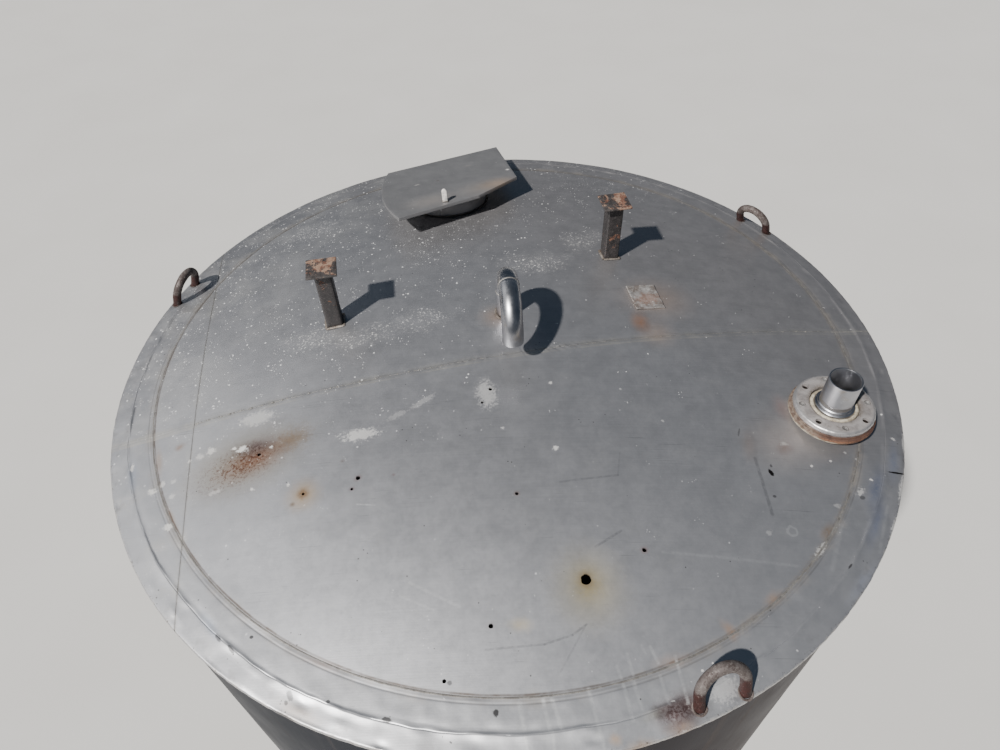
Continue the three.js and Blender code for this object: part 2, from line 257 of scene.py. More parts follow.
def lathe(name, profile, steps, centre=(0, 0, 0), wobble=None):
    """Turns a closed outline of [radius, height]; wobble(angle, index) returns offsets."""
    verts = []
    for a in angles(steps):
        c, s = math.cos(a), math.sin(a)
        for k, (r, z) in enumerate(profile):
            dr, dz = wobble(a, k) if wobble else (0, 0)
            verts.append((centre[0] + (r + dr) * c, centre[1] + (r + dr) * s, centre[2] + z + dz))
    return mesh_object(name, verts, skin(steps, len(profile), wrap_rows=True, wrap_points=True))


def tangents(path):
    """Each point of a path with its direction."""
    last = len(path) - 1
    for i, p in enumerate(path):
        yield p, (path[min(i + 1, last)] - path[max(i - 1, 0)]).normalized()


def frames(path):
    """Point, direction and two cross directions along a path, without twist."""
    normal = None
    for p, t in tangents(path):
        if normal is None:
            normal = t.orthogonal().normalized()
        normal = (normal - t * normal.dot(t)).normalized()
        yield p, t, normal.copy(), t.cross(normal)


def circles(rows, sides):
    """Points round each row of centre, two cross directions and radius."""
    verts = []
    for p, normal, side, r in rows:
        for c, s in around(sides, closed=False):
            verts.append(p + (normal * c + side * s) * r)
    return verts


def sweep(name, path, radii, sides):
    """A round bar along a list of points."""
    rows = [(p, normal, side, r) for (p, _, normal, side), r in zip(frames(path), radii)]
    faces = skin(len(rows), sides, wrap_points=True, flip=True) + caps(len(rows), sides)
    return mesh_object(name, circles(rows, sides), faces)


def tube(name, path, outer, inner, sides=48):
    """A hollow tube with rounded ends, as one closed surface."""
    edge = (outer - inner) * 0.5
    mid = (outer + inner) * 0.5
    steps = list(frames(path))
    rows = []
    for order, radius, sign in ((steps, outer, 1), (steps[::-1], inner, -1)):
        rows += [(p, normal, side, radius) for p, t, normal, side in order]
        p, t, normal, side = order[-1]
        for k in range(1, 6):
            a = math.pi * k / 6
            end = p + t * math.sin(a) * edge * 0.5 * sign
            rows.append((end, normal, side, mid + edge * math.cos(a) * sign))
    faces = skin(len(rows), sides, wrap_rows=True, wrap_points=True, flip=True)
    return mesh_object(name, circles(rows, sides), faces)


def bead(name, path, width, height, seed, ripple, pitch, normals=None, jitter=0.0, section=7):
    """A rippled weld bead: a low rounded strip that follows points on a surface."""
    verts = []
    along = 0.0
    before = path[0]
    for i, (p, t) in enumerate(tangents(path)):
        side = t.cross(normals[i] if normals else UP).normalized()
        up = side.cross(t).normalized()
        along += (p - before).length
        before = p
        w = width * (1 + 0.25 * n3(along * 60, seed, 1.0))
        h = height * (1 - ripple + ripple * abs(math.sin(along * math.pi / pitch)))
        h *= 1 + 0.3 * n3(along * 35, seed, 5.0)
        off = side * jitter * n3(along * 14, seed, 9.0)
        for k in range(section):
            s = -1 + 2 * k / (section - 1)
            verts.append(p + off + side * s * w * 0.5 + up * (h * (1 - s * s) - 0.0004))
    return mesh_object(name, verts, skin(len(path), section, flip=True))


def weld_bead(name, mat, slot, *shape, **more):
    finish_piece(bead(name, *shape, **more), mat)


# roof sheets

CROWN_DENTS = (
    # x, y, radius, depth
    (-0.62, -0.78, 0.10, 0.0022),
    (0.10, -0.95, 0.12, 0.0018),
    (0.62, -0.62, 0.14, 0.0020),
    (-0.25, -0.30, 0.16, 0.0022),
    (0.55, 0.55, 0.15, 0.0020),
    (-0.70, 0.30, 0.15, 0.0022),
    (0.18, -0.84, 0.05, 0.0022),
    (-0.70, -0.45, 0.12, 0.0026),
)
DENT_RANGES = ((0, 2 * math.pi), (1.158, 1.192), (0.010, 0.034), (-0.0028, 0.0020))
RIM_DENTS = [[random.uniform(*limits) for limits in DENT_RANGES] for _ in range(70)]
SMALL_HOLES = (
    # x, y, radius
    (0.180, -0.825, 0.0125),
    (0.024, -0.605, 0.0045),
    (0.328, -0.756, 0.0055),
    (-0.047, -0.925, 0.0055),
    (-0.389, -0.537, 0.0060),
    (-0.402, -0.568, 0.0040),
    (-0.152, -1.036, 0.0045),
    (-0.531, -0.570, 0.0040),
    (-0.677, -0.432, 0.0050),
    (-0.039, -0.274, 0.0055),
    (-0.062, -0.320, 0.0045),
)
HOLES = {"crown_front": SMALL_HOLES + ((*NOZZLE, NOZZLE_HOLE),), "crown_rear": ((*VENT, VENT_HOLE),)}


def fold_line(a):
    """Radius of the fold in the outer band."""
    x, y = math.cos(a), math.sin(a)
    return FOLD_R + 0.0040 * n2(x, y, 8, 1.3) + 0.0018 * n2(x, y, 34, 2.1)


def crown_z(x, y):
    """Height of the crown: dome, slow waves, laps at the seams and dents."""
    r = math.hypot(x, y)
    soft = 0.0022 * n2(x, y, 2.1, 3.0) + 0.0008 * n2(x, y, 6.0, 8.0)
    u, v = sheet_uv(x, y)
    lap = v - CROSS_V
    if lap < 0:
        soft += 0.0016 * math.exp(lap / 0.018)
    else:
        soft -= 0.0014 * math.exp(-lap / 0.020)
    soft -= 0.0012 * math.exp(-abs(u - LEFT_U) / 0.015)
    for dx, dy, size, depth in CROWN_DENTS:
        q = ((x - dx) ** 2 + (y - dy) ** 2) / (size * size)
        if q < 6:
            soft -= depth * math.exp(-q)
    return LIP + base_rise(r) + soft * unit((WELD_R - r) / 0.035)


def ring_z(r, a):
    """Height of the outer band: slope, crest of the fold, waves and dents."""
    x, y = math.cos(a), math.sin(a)
    z = base_rise(r)
    d = r - fold_line(a)
    crest = 0.0012 + 0.0026 * n2(x, y, 7, 4.2) + 0.0022 * n2(x, y, 26, 6.5)
    side = 1 + d / 0.0055 if d < 0 else 1 - d / 0.016
    z -= 0.0007 * max(0.0, 1 - abs(d) / 0.0012)
    if side > 0:
        z += crest * side
    if d < 0:
        z -= 0.0007 * math.exp(-(((d + 0.011) / 0.007) ** 2)) * (0.6 + 1.6 * n2(x, y, 13, 3.3))
    wave = unit(d / 0.010) * unit((LIP_R - r) / 0.008)
    z += wave * (0.0030 * n2(x, y, 10, 7.7) + 0.0007 * n2(x, y, 30, r * 20))
    inner = unit((r - WELD_R) / 0.010) * unit(-d / 0.008)
    z += inner * (0.0018 * n2(x, y, 9, 11 + r * 8) + 0.0007 * n2(x, y, 30, r * 30))
    z -= inner * 0.0004 * math.exp(-(((r - 1.0860) / 0.0016) ** 2))
    for place, dent_r, size, depth in RIM_DENTS:
        w = (a - place + math.pi) % (2 * math.pi) - math.pi
        if abs(w) < 0.09:
            q = (w * 1.17 / size) ** 2 + ((r - dent_r) / (size * 0.45)) ** 2
            if q < 6:
                z += depth * math.exp(-q) * unit((LIP_R - r) / 0.005)
    return LIP + z


def roof_point(x, y, lift=0.0):
    r = math.hypot(x, y)
    z = crown_z(x, y) if r < WELD_R else ring_z(r, math.atan2(y, x))
    return Vector((x, y, z + lift))


def roof_normal(x, y, step=0.004):
    dx = roof_point(x + step, y) - roof_point(x - step, y)
    dy = roof_point(x, y + step) - roof_point(x, y - step)
    return dx.cross(dy).normalized()


def rings(bm, rows, steps):
    """Rings of points; each row is a function that gives radius and height at an angle."""
    grid = []
    for row in rows:
        ring = []
        for a in angles(steps):
            r, z = row(a)
            ring.append(bm.verts.new((r * math.cos(a), r * math.sin(a), z)))
        grid.append(ring)
    return grid


def cut(bm, direction, at, sign):
    """Keeps one side of a straight sheet seam, the far one with sign 1, and closes the cut."""
    normal = Vector(direction)
    bmesh.ops.bisect_plane(
        bm,
        geom=everything(bm),
        dist=1e-6,
        plane_co=normal * (at + sign * SEAM_GAP),
        plane_no=normal * -sign,
        clear_outer=True,
    )
    open_edges = [e for e in bm.edges if e.is_boundary]
    if open_edges:
        bmesh.ops.holes_fill(bm, edges=open_edges, sides=0)
    return bm


def sheet_pieces(bm, kind, mats, sharp):
    """Cuts a round sheet along its seams into the front, rear and left piece."""
    parts = {
        "front": cut(cut(bm.copy(), ALONG, LEFT_U, 1), ACROSS, CROSS_V, -1),
        "rear": cut(cut(bm.copy(), ALONG, LEFT_U, 1), ACROSS, CROSS_V, 1),
        "left": cut(bm.copy(), ALONG, LEFT_U, -1),
    }
    bm.free()
    for part, sheet in parts.items():
        node = "%s_%s" % (kind, part)
        ob = bm_object(node + "_sheet", sheet)
        if node in HOLES:
            drill(ob, HOLES[node])
        finish_piece(ob, mats[part][0], node)
        stripe_faces(ob, mats[part])
        sharp_by_angle(ob, sharp)


def drill(ob, holes):
    """Cuts holes through a sheet; the small ones are ragged."""
    bm = bmesh.new()
    for x, y, r in holes:
        z = crown_z(x, y)
        small = r < 0.03
        rows = ([], [])
        for c, s in around(18 if small else 64, closed=False):
            rag = 0.16 * n3(c * 1.7 + x * 9, s * 1.7 + y * 9, 2.0) if small else 0
            for row, lift in zip(rows, (-0.03, 0.03)):
                row.append(bm.verts.new((x + r * (1 + rag) * c, y + r * (1 + rag) * s, z + lift)))
        weave(bm, rows, wrap_points=True, flip=True)
        bm.faces.new(list(reversed(rows[0])))
        bm.faces.new(rows[1])
    subtract(ob, bm)


def build_crown(mats):
    top = [0.0149 * i for i in range(1, 71)] + [1.052, 1.061, 1.067, 1.0700, 1.0714]
    low = [1.0716, 0.98, 0.84, 0.70, 0.56, 0.42, 0.28, 0.14]

    def on_crown(r, below):
        return lambda a: (r, crown_z(r * math.cos(a), r * math.sin(a)) - below)

    bm = bmesh.new()
    steps = 360
    grid = rings(bm, [on_crown(r, 0) for r in top] + [on_crown(r, ROOF_THICK) for r in low], steps)
    weave(bm, grid, wrap_points=True)
    peak = bm.verts.new((0, 0, crown_z(0, 0)))
    under = bm.verts.new((0, 0, crown_z(0, 0) - ROOF_THICK))
    for i in range(steps):
        j = (i + 1) % steps
        bm.faces.new((grid[0][j], peak, grid[0][i]))
        bm.faces.new((grid[-1][i], under, grid[-1][j]))
    sheet_pieces(bm, "crown", mats, 32)


def build_ring(mats):
    inner = [1.0744, 1.0752, 1.0775, 1.0815, 1.0845, 1.0862, 1.0876, 1.0890, 1.0910]
    inner += [1.096, 1.102, 1.108, 1.114, 1.120]
    by_fold = [-0.0175, -0.0135, -0.0105, -0.0080, -0.0055, -0.0030, -0.0012, 0]
    by_fold += [0.0012, 0.0032, 0.0060, 0.0095, 0.0140]
    outer = [1.166, 1.1725, 1.178, 1.1835, 1.188, 1.192, 1.195, EDGE_R]
    lip = ((0.0012, 0.0010), (0.0001, 0.0026), (0.0, 0.0080), (0.0, 0.0130))
    lip += ((0.0012, 0.0142), (0.0028, 0.0132), (0.0030, 0.0060))

    def on_ring(r, below=0.0):
        return lambda a: (r, ring_z(min(r, EDGE_R), a) - below)

    def near_fold(off, below=0.0):
        return lambda a: on_ring(fold_line(a) + off, below)(a)

    def on_lip(inset, down):
        def row(a):
            x, y = math.cos(a), math.sin(a)
            r = LIP_R - inset + (0.0009 * n2(x, y, 55, 3.0) + 0.0006 * n2(x, y, 160, 5.0))
            rag = 0.0010 * n2(x, y, 48, 9.0) if down > 0.01 else 0
            return r, ring_z(EDGE_R, a) - down + rag

        return row

    rows = [on_ring(r) for r in inner] + [near_fold(off) for off in by_fold] + [on_ring(r) for r in outer]
    rows += [on_lip(inset, down) for inset, down in lip]
    rows += [on_ring(r, ROOF_THICK) for r in (1.190, 1.165, 1.150)] + [near_fold(0.0, ROOF_THICK)]
    rows += [on_ring(r, ROOF_THICK) for r in (1.134, 1.115, 1.095, 1.0744)]
    bm = bmesh.new()
    weave(bm, rings(bm, rows, 1440), wrap_rows=True, wrap_points=True)
    sheet_pieces(bm, "roof_edge", mats, 38)


def seam_path(start, end, count, lift):
    """Points on the roof along a straight seam, from start to end in the sheets' own directions."""
    path = []
    for i in range(count + 1):
        u, v = (a + (b - a) * i / count for a, b in zip(start, end))
        path.append(roof_point(*turn_xy(u, v, SHEET), lift))
    return path


def build_welds(pale, soft):
    path = []
    for c, s in around(1440):
        r = WELD_R + 0.0008 * n2(c, s, 20, 4.0)
        path.append(Vector((r * c, r * s, LIP + WELD_Z)))
    weld_bead(
        "roof_circle_weld", soft, "roof_edge_sheet", path,
        width=0.0062, height=0.0005, seed=3.0, ripple=0.2, pitch=0.006,
    )
    half = math.sqrt(LIP_R ** 2 - CROSS_V ** 2) - 0.004
    path = seam_path((LEFT_U, CROSS_V), (half, CROSS_V), 700, 0.0002)
    weld_bead(
        "roof_cross_weld", pale, "crown_sheet", path,
        width=0.0050, height=0.0005, seed=8.0, ripple=0.04, pitch=0.012, jitter=0.0008,
    )
    half = math.sqrt(LIP_R ** 2 - LEFT_U ** 2) - 0.004
    path = seam_path((LEFT_U, -half), (LEFT_U, half), 420, -0.0006)
    weld_bead(
        "roof_left_weld", soft, "crown_sheet", path,
        width=0.0040, height=0.0007, seed=5.0, ripple=0.3, pitch=0.005, jitter=0.0008,
    )


# wall and foot

WALL_LOW = 0.0121
WALL_HIGH = LIP - 0.003
COURSES = 4
COURSE = (WALL_HIGH - WALL_LOW) / COURSES


def wall_radius(x, y, z, edge, end):
    """Radius of the wall's outer face; edge and end are the distances from a sheet's borders."""
    soft = 0.0016 * n3(x * 3.4, y * 3.4, z * 2.2) + 0.0006 * n3(x * 9, y * 9, z * 6)
    soft -= 0.0010 * math.exp(-edge * 40) + 0.0009 * math.exp(-end * 26)
    fade = unit((WALL_HIGH - z) / 0.10) * min(1.0, (z - WALL_LOW) / 0.10 + 0.05)
    return WALL_R + soft * fade


def rolled_sheet(z0, z1, a0, a1, steps=108, rows=18):
    """One curved wall sheet with an outer and an inner face."""
    bm = bmesh.new()
    grid = []
    for back in (False, True):
        for k in range(rows + 1):
            t = 1 - k / rows if back else k / rows
            z = z0 + (z1 - z0) * t
            line = []
            for i in range(steps + 1):
                a = a0 + (a1 - a0) * i / steps
                x, y = math.cos(a), math.sin(a)
                r = wall_radius(x, y, z, min(i, steps - i) / steps, min(t, 1 - t))
                r -= WALL_THICK if back else 0
                line.append(bm.verts.new((r * x, r * y, z)))
            grid.append(line)
    weave(bm, grid, wrap_rows=True, flip=True)
    last = len(grid) - 1
    for i in (0, steps):
        for k in range(rows):
            quad = (grid[k][i], grid[k + 1][i], grid[last - 1 - k][i], grid[last - k][i])
            bm.faces.new(quad if i == 0 else tuple(reversed(quad)))
    bmesh.ops.recalc_face_normals(bm, faces=bm.faces[:])
    return bm


def build_wall(mat, weld):
    for c in range(COURSES):
        for s, letter in enumerate("abc"):
            start = math.radians(-90 + 40 * c + 120 * s)
            z0 = WALL_LOW + COURSE * c + SEAM_GAP
            z1 = WALL_LOW + COURSE * (c + 1) - SEAM_GAP
            label = "%d_%s" % (c + 1, letter)
            sheet = rolled_sheet(z0, z1, start + SEAM_GAP, start + math.radians(120) - SEAM_GAP)
            finish_piece(bm_object("shell_%s_sheet" % label, sheet), mat, "shell_" + label, 40)
            out = Vector((math.cos(start), math.sin(start), 0))
            path = [out * WALL_R + Vector((0, 0, z0 + (z1 - z0) * k / 300)) for k in range(301)]
            weld_bead(
                "wall_upright_weld_" + label, weld, "wall_sheet", path, normals=[out] * len(path),
                width=0.0070, height=0.0011, seed=c * 3.1 + s, ripple=0.3, pitch=0.008,
            )
    for c in range(1, COURSES):
        path, ups = [], []
        for x, y in around(900):
            out = Vector((x, y, 0))
            z = WALL_LOW + COURSE * c + 0.0006 * n2(x, y, 9, c)
            path.append(out * (WALL_R - 0.0006) + Vector((0, 0, z)))
            ups.append(out)
        weld_bead(
            "wall_round_weld_%d" % c, weld, "wall_sheet", path, normals=ups,
            width=0.0075, height=0.0013, seed=c * 7.7, ripple=0.3, pitch=0.009,
        )


FOOT_BAR = (
    # radius and height round the section of the bar
    (1.120, 0.001), (1.121, 0.0), (1.2140, 0.0), (1.2150, 0.001),
    (1.2150, 0.0108), (1.2138, 0.012), (1.1212, 0.012), (1.120, 0.0108),
)
FLOOR_PLATE = (
    (0.001, 0.0125), (0.6, 0.0125), (1.186, 0.0125), (1.187, 0.0135),
    (1.187, 0.0173), (1.186, 0.0183), (0.6, 0.0183), (0.001, 0.0183),
)


def build_foot(mat, plate, weld, steps=140):
    for i in range(3):
        a0 = math.radians(30 + 120 * i) + 0.0006
        a1 = math.radians(150 + 120 * i) - 0.0006
        verts = []
        for k in range(steps + 1):
            a = a0 + (a1 - a0) * k / steps
            x, y = math.cos(a), math.sin(a)
            rag = 0.0006 * n2(x, y, 26, 3.0) - 0.0004
            for r, z in FOOT_BAR:
                r += rag if r > 1.2 else 0
                verts.append((r * x, r * y, z))
        n = len(FOOT_BAR)
        faces = skin(steps + 1, n, wrap_points=True, flip=True) + caps(steps + 1, n)
        node = "base_ring_%d" % (i + 1)
        finish_piece(mesh_object(node + "_bar", verts, faces), mat, node, 50)
    disc = lathe("bottom_plate_disc", FLOOR_PLATE, 120)
    finish_piece(disc, plate, "bottom_plate", 50)
    path, ups = [], []
    for x, y in around(900):
        out = Vector((x, y, 0))
        path.append(out * (WALL_R + 0.0030) + Vector((0, 0, 0.0125)))
        ups.append((UP - out * 0.3).normalized())
    weld_bead(
        "base_weld", weld, "foot_bar", path, normals=ups,
        width=0.012, height=0.006, seed=6.0, ripple=0.35, pitch=0.008,
    )


# fittings


def collar(name, mat, slot, centre, radius, width, height, seed, lumps=0.35):
    """A lumpy weld fillet round a pipe or bar that stands on the roof."""
    path, ups = [], []
    for c, s in around(120):
        x, y = centre[0] + radius * c, centre[1] + radius * s
        path.append(roof_point(x, y, 0.0002))
        ups.append((roof_normal(x, y) - Vector((c, s, 0)) * 0.9).normalized())
    shape = (path, width, height, seed, lumps)
    weld_bead(name, mat, slot, *shape, pitch=0.006, normals=ups, jitter=width * 0.2)


def ring_bead(name, mat, slot, centre, radius, width, height, seed, ripple, pitch, axis=UP):
    """A bead round a circle in any plane."""
    ax = axis.normalized().orthogonal().normalized()
    ay = axis.normalized().cross(ax)
    path, ups = [], []
    for c, s in around(160):
        out = ax * c + ay * s
        path.append(Vector(centre) + out * radius)
        ups.append(out.normalized())
    weld_bead(name, mat, slot, path, width, height, seed, ripple, pitch, ups)


def build_vent(pipe, weld, rusty):
    forward = Vector((math.cos(VENT_TURN), math.sin(VENT_TURN), 0))
    base = Vector((*VENT, LIP))
    foot = crown_z(*VENT) - LIP
    spring = base + UP * VENT_SPRING
    centre = spring + forward * VENT_BEND

    def on_bend(a):
        return centre + forward * (VENT_BEND * math.cos(a)) + UP * (VENT_BEND * math.sin(a))

    def arc(a0, a1, count=30):
        return [on_bend(math.radians(a0 + (a1 - a0) * i / count)) for i in range(count + 1)]

    riser = [base + UP * (foot + 0.0004 + (VENT_SPRING - foot - 0.0008) * i / 10) for i in range(11)]
    for node, path in (
        ("vent_riser", riser),
        ("vent_elbow_rear", arc(180, 90.2)),
        ("vent_elbow_front", arc(89.8, 0)),
    ):
        finish_piece(tube(node + "_pipe", path, VENT_TUBE, VENT_BORE), pipe, node)
    for name, at, axis in (
        ("vent_top_weld", centre + UP * VENT_BEND, forward),
        ("vent_spring_weld", spring, UP),
    ):
        ring_bead(
            name, weld, "vent_pipe", at, VENT_TUBE - 0.0003, axis=axis,
            width=0.0070, height=0.0019, seed=4.0, ripple=0.3, pitch=0.004,
        )
    for letter, off in (("a", 0.0105), ("b", -0.0105)):
        a = math.radians(90) + off / VENT_BEND
        axis = (UP * math.cos(a) - forward * math.sin(a)).normalized()
        ring_bead(
            "vent_swage_" + letter, pipe, "vent_pipe", on_bend(a), VENT_TUBE - 0.0002, axis=axis,
            width=0.0022, height=0.0007, seed=2.0, ripple=0.0, pitch=0.005,
        )
    collar(
        "vent_foot_weld", rusty, "vent_pipe", VENT, VENT_TUBE + 0.0035,
        width=0.012, height=0.0058, seed=3.0,
    )


def lug_outline():
    """Sideways and upward steps along the bent bar: leg, bow, leg."""
    out = [(-LUG_SPREAD, LUG_LEG * i / 12) for i in range(13)]
    for i in range(1, 44):
        w = math.pi * i / 44
        out.append((-LUG_SPREAD * math.cos(w), LUG_LEG + LUG_BOW * math.sin(w)))
    return out + [(LUG_SPREAD, LUG_LEG * (1 - i / 12)) for i in range(13)]


def build_lugs(bar, weld):
    flat = lug_outline()
    for name, (place, circle, twist, lean) in LUGS.items():
        a = math.radians(place)
        t = math.radians(place + twist)
        lean = math.radians(lean)
        inward = Vector((-math.cos(t), -math.sin(t), 0))
        side = Vector((-math.sin(t), math.cos(t), 0))
        rise = Vector((0, 0, math.cos(lean))) + inward * math.sin(lean)
        base = Vector((math.cos(a) * circle, math.sin(a) * circle, LIP + base_rise(circle)))
        path = [base + side * u + rise * w for u, w in flat]
        for end, step in ((0, 1), (-1, -1)):
            p = path[end]
            drop = p.z - roof_point(p.x, p.y).z + 0.0012
            for k in range(5):
                path[end + step * k] -= rise * (drop / rise.z * (1 - k / 5))
        radii = [LUG_BAR + 0.00045 * n2(u, w, 40, place) + 0.0003 * n2(u, w, 120, place) for u, w in flat]
        finish_piece(sweep(name + "_bar", path, radii, 28), bar, name)
        for k, end in (("a", 0), ("b", -1)):
            collar(
                "%s_weld_%s" % (name, k), weld, "lug_bar", path[end], LUG_BAR + 0.0012,
                width=0.0080, height=0.0030, seed=place + end, lumps=0.12,
            )


# outlines of the nozzle's turned pieces: radius and height over the lip
NECK = ((0.0513, 0.0838), (0.0520, 0.0843), (0.0566, 0.0843), (0.05715, 0.0835))
LOWER_FLANGE = (
    (0.0576, 0.0702), (0.1135, 0.0702), (0.1160, 0.0712), (0.1170, 0.0735), (0.1170, 0.0765),
    (0.1166, 0.0800), (0.1158, 0.0826), (0.1138, 0.0838), (0.0950, 0.0840), (0.0576, 0.0840),
)
# painted shade: a near-black plug in each bolt hole stands in for the hole's dark depth
HOLE_SHADE_PLUG = (
    (0.0005, 0.0848), (0.0086, 0.0848), (0.0087, 0.0990),
    (0.0078, 0.0990), (0.0070, 0.0905), (0.0005, 0.0895),
)
STUB = (
    (0.0400, 0.0844), (0.0786, 0.0844), (0.0790, 0.0852), (0.0790, 0.0876), (0.0784, 0.0883),
    (0.0560, 0.0885), (0.0545, 0.0892), (0.0540, 0.0910), (0.0540, 0.1050), (0.0536, 0.1072),
    (0.0522, 0.1084), (0.0500, 0.1090), (0.0484, 0.1096), (0.0480, 0.1110), (0.0480, 0.1138),
    (0.0472, 0.1148), (0.0450, 0.1154), (0.04445, 0.1165), (0.04445, 0.1300), (0.0450, 0.1308),
    (0.0450, 0.1322), (0.04445, 0.1330), (0.04445, 0.2035), (0.0438, 0.2048), (0.0408, 0.2048),
    (0.0400, 0.2038),
)
SEALANT_COLLAR = (
    (0.0545, 0.0890), (0.0625, 0.0890), (0.0640, 0.0930), (0.0636, 0.0985),
    (0.0615, 0.1020), (0.0580, 0.1035), (0.0552, 0.1022), (0.0545, 0.0980),
)
LOOSE_FLANGE = (
    (0.0665, 0.0905), (0.0672, 0.0890), (0.1060, 0.0888), (0.1085, 0.0898), (0.1098, 0.0925),
    (0.1100, 0.0975), (0.1092, 0.1015), (0.1072, 0.1045), (0.1040, 0.1062), (0.0900, 0.1068),
    (0.0740, 0.1066), (0.0690, 0.1060), (0.0672, 0.1042), (0.0665, 0.1020),
)
STUD = (
    (0.0005, 0.0860), (0.0083, 0.0860), (0.0084, 0.1040), (0.0079, 0.1052),
    (0.0062, 0.1056), (0.0057, 0.1049), (0.0040, 0.1047), (0.0005, 0.1050),
)


def bolt_place(i):
    w = math.radians(BOLT_START + 45 * i)
    return NOZZLE[0] + BOLT_CIRCLE * math.cos(w), NOZZLE[1] + BOLT_CIRCLE * math.sin(w), LIP


def flange_holes(ob, which, z, depth):
    bm = bmesh.new()
    for i in which:
        place = Matrix.Translation(Vector(bolt_place(i)) + Vector((0, 0, z)))
        size = {"radius1": 0.0088, "radius2": 0.0092, "depth": depth}
        bmesh.ops.create_cone(bm, cap_ends=True, segments=24, matrix=place, **size)
    subtract(ob, bm)


def rough_edge(amp, scale, seed):
    def wobble(a, k):
        x, y = math.cos(a), math.sin(a)
        return amp * n2(x, y, scale, seed + k * 0.21), 0.4 * amp * n2(x, y, scale, seed + 7 + k * 0.3)

    return wobble


def collar_edge(a, k):
    """The sealant collar bulges to two sides."""
    x, y = math.cos(a), math.sin(a)
    lobe = 0.0021 * math.cos(2 * (a - math.radians(168))) + 0.0015 * n2(x, y, 6, 3.0 + k * 0.21)
    return (lobe if 1 <= k <= 5 else 0.0), 0.0008 * n2(x, y, 9, 10.0)


def build_nozzle(pipe, cast, rusty, seal, bolt, weld, hole_shade_black):
    at = (*NOZZLE, LIP)
    low = crown_z(*NOZZLE) - LIP - 0.03
    ob = lathe("nozzle_neck_pipe", ((0.0510, low), *NECK, (0.05715, low)), 72, at)
    finish_piece(ob, pipe, "nozzle_neck", 50)
    path, ups = [], []
    for c, s in around(180):
        x, y = NOZZLE[0] + 0.0635 * c, NOZZLE[1] + 0.0635 * s
        path.append(Vector((x, y, LIP + base_rise(min(math.hypot(x, y), WELD_R)) + 0.0004)))
        ups.append((UP - Vector((c, s, 0)) * 0.9).normalized())
    weld_bead(
        "nozzle_foot_weld", weld, "nozzle_pipe", path, normals=ups,
        width=0.020, height=0.010, seed=2.2, ripple=0.3, pitch=0.007, jitter=0.003,
    )
    ob = lathe("nozzle_lower_flange_ring", LOWER_FLANGE, 144, at, rough_edge(0.0011, 9, 4.0))
    flange_holes(ob, (0, 2, 4, 6), 0.078, 0.040)
    finish_piece(ob, rusty, "nozzle_lower_flange", 50)
    # the upper bead wears the rust material and lies in its painted shade band under the loose flange, so it
    # shows dark
    for name, mat, r, z, width, seed in (
        ("nozzle_sealant_upper", rusty, 0.1085, 0.0862, 0.0055, 3.0),
        ("nozzle_sealant_lower", seal, 0.1140, 0.0705, 0.0052, 6.0),
    ):
        ring_bead(
            name, mat, "rusty_flange", (*NOZZLE, LIP + z), r,
            width=width, height=0.0030, seed=seed, ripple=0.15, pitch=0.017,
        )
    # painted shade: near-black plugs in the bolt holes
    for i in (0, 2, 4, 6):
        plug = lathe("nozzle_hole_shade_plug_%d" % i, HOLE_SHADE_PLUG, 24, bolt_place(i), rough_edge(0.0003, 3, i))
        finish_piece(plug, hole_shade_black)
    ob = lathe("nozzle_stub_pipe", STUB, 96, at, rough_edge(0.0002, 5, 2.0))
    finish_piece(ob, pipe, "nozzle_stub", 50)
    ob = lathe("nozzle_sealant_collar", SEALANT_COLLAR, 120, at, collar_edge)
    finish_piece(ob, seal)
    ob = lathe("nozzle_loose_flange_ring", LOOSE_FLANGE, 160, at, rough_edge(0.0009, 11, 6.0))
    flange_holes(ob, range(8), 0.098, 0.030)
    finish_piece(ob, cast, "nozzle_loose_flange", 45)
    for i in (1, 3, 5, 7):
        stud = lathe("nozzle_stud_%d" % i, STUD, 32, bolt_place(i), rough_edge(0.0005, 3, i))
        finish_piece(stud, bolt)


def hatch_matrix():
    """From the hatch's own directions to the roof: its place, the slope there and its turn."""
    far = math.hypot(*HATCH)
    az = math.atan2(HATCH[1], HATCH[0])
    tilt = math.atan(2 * RISE * far / WELD_R ** 2)
    return (
        Matrix.Translation((*HATCH, LIP + base_rise(far)))
        @ Matrix.Rotation(az, 4, "Z")
        @ Matrix.Rotation(tilt, 4, "Y")
        @ Matrix.Rotation(HATCH_TURN - az, 4, "Z")
    )


def hatch_sides(count=36):
    """Point and outward direction of each side: straight ones with a trimmed corner, a wide left curve."""
    outline = list(HATCH_CORNERS)
    for i in range(count + 1):
        y = 0.120 - 0.446 * i / count
        outline.append((0.337 - math.sqrt(0.640 ** 2 - (y + 0.240) ** 2), y))
    sides = []
    for (x, y), (nx, ny) in zip(outline, outline[1:] + outline[:1]):
        size = math.hypot(nx - x, ny - y)
        sides.append((x, y, (ny - y) / size, (x - nx) / size))
    return sides


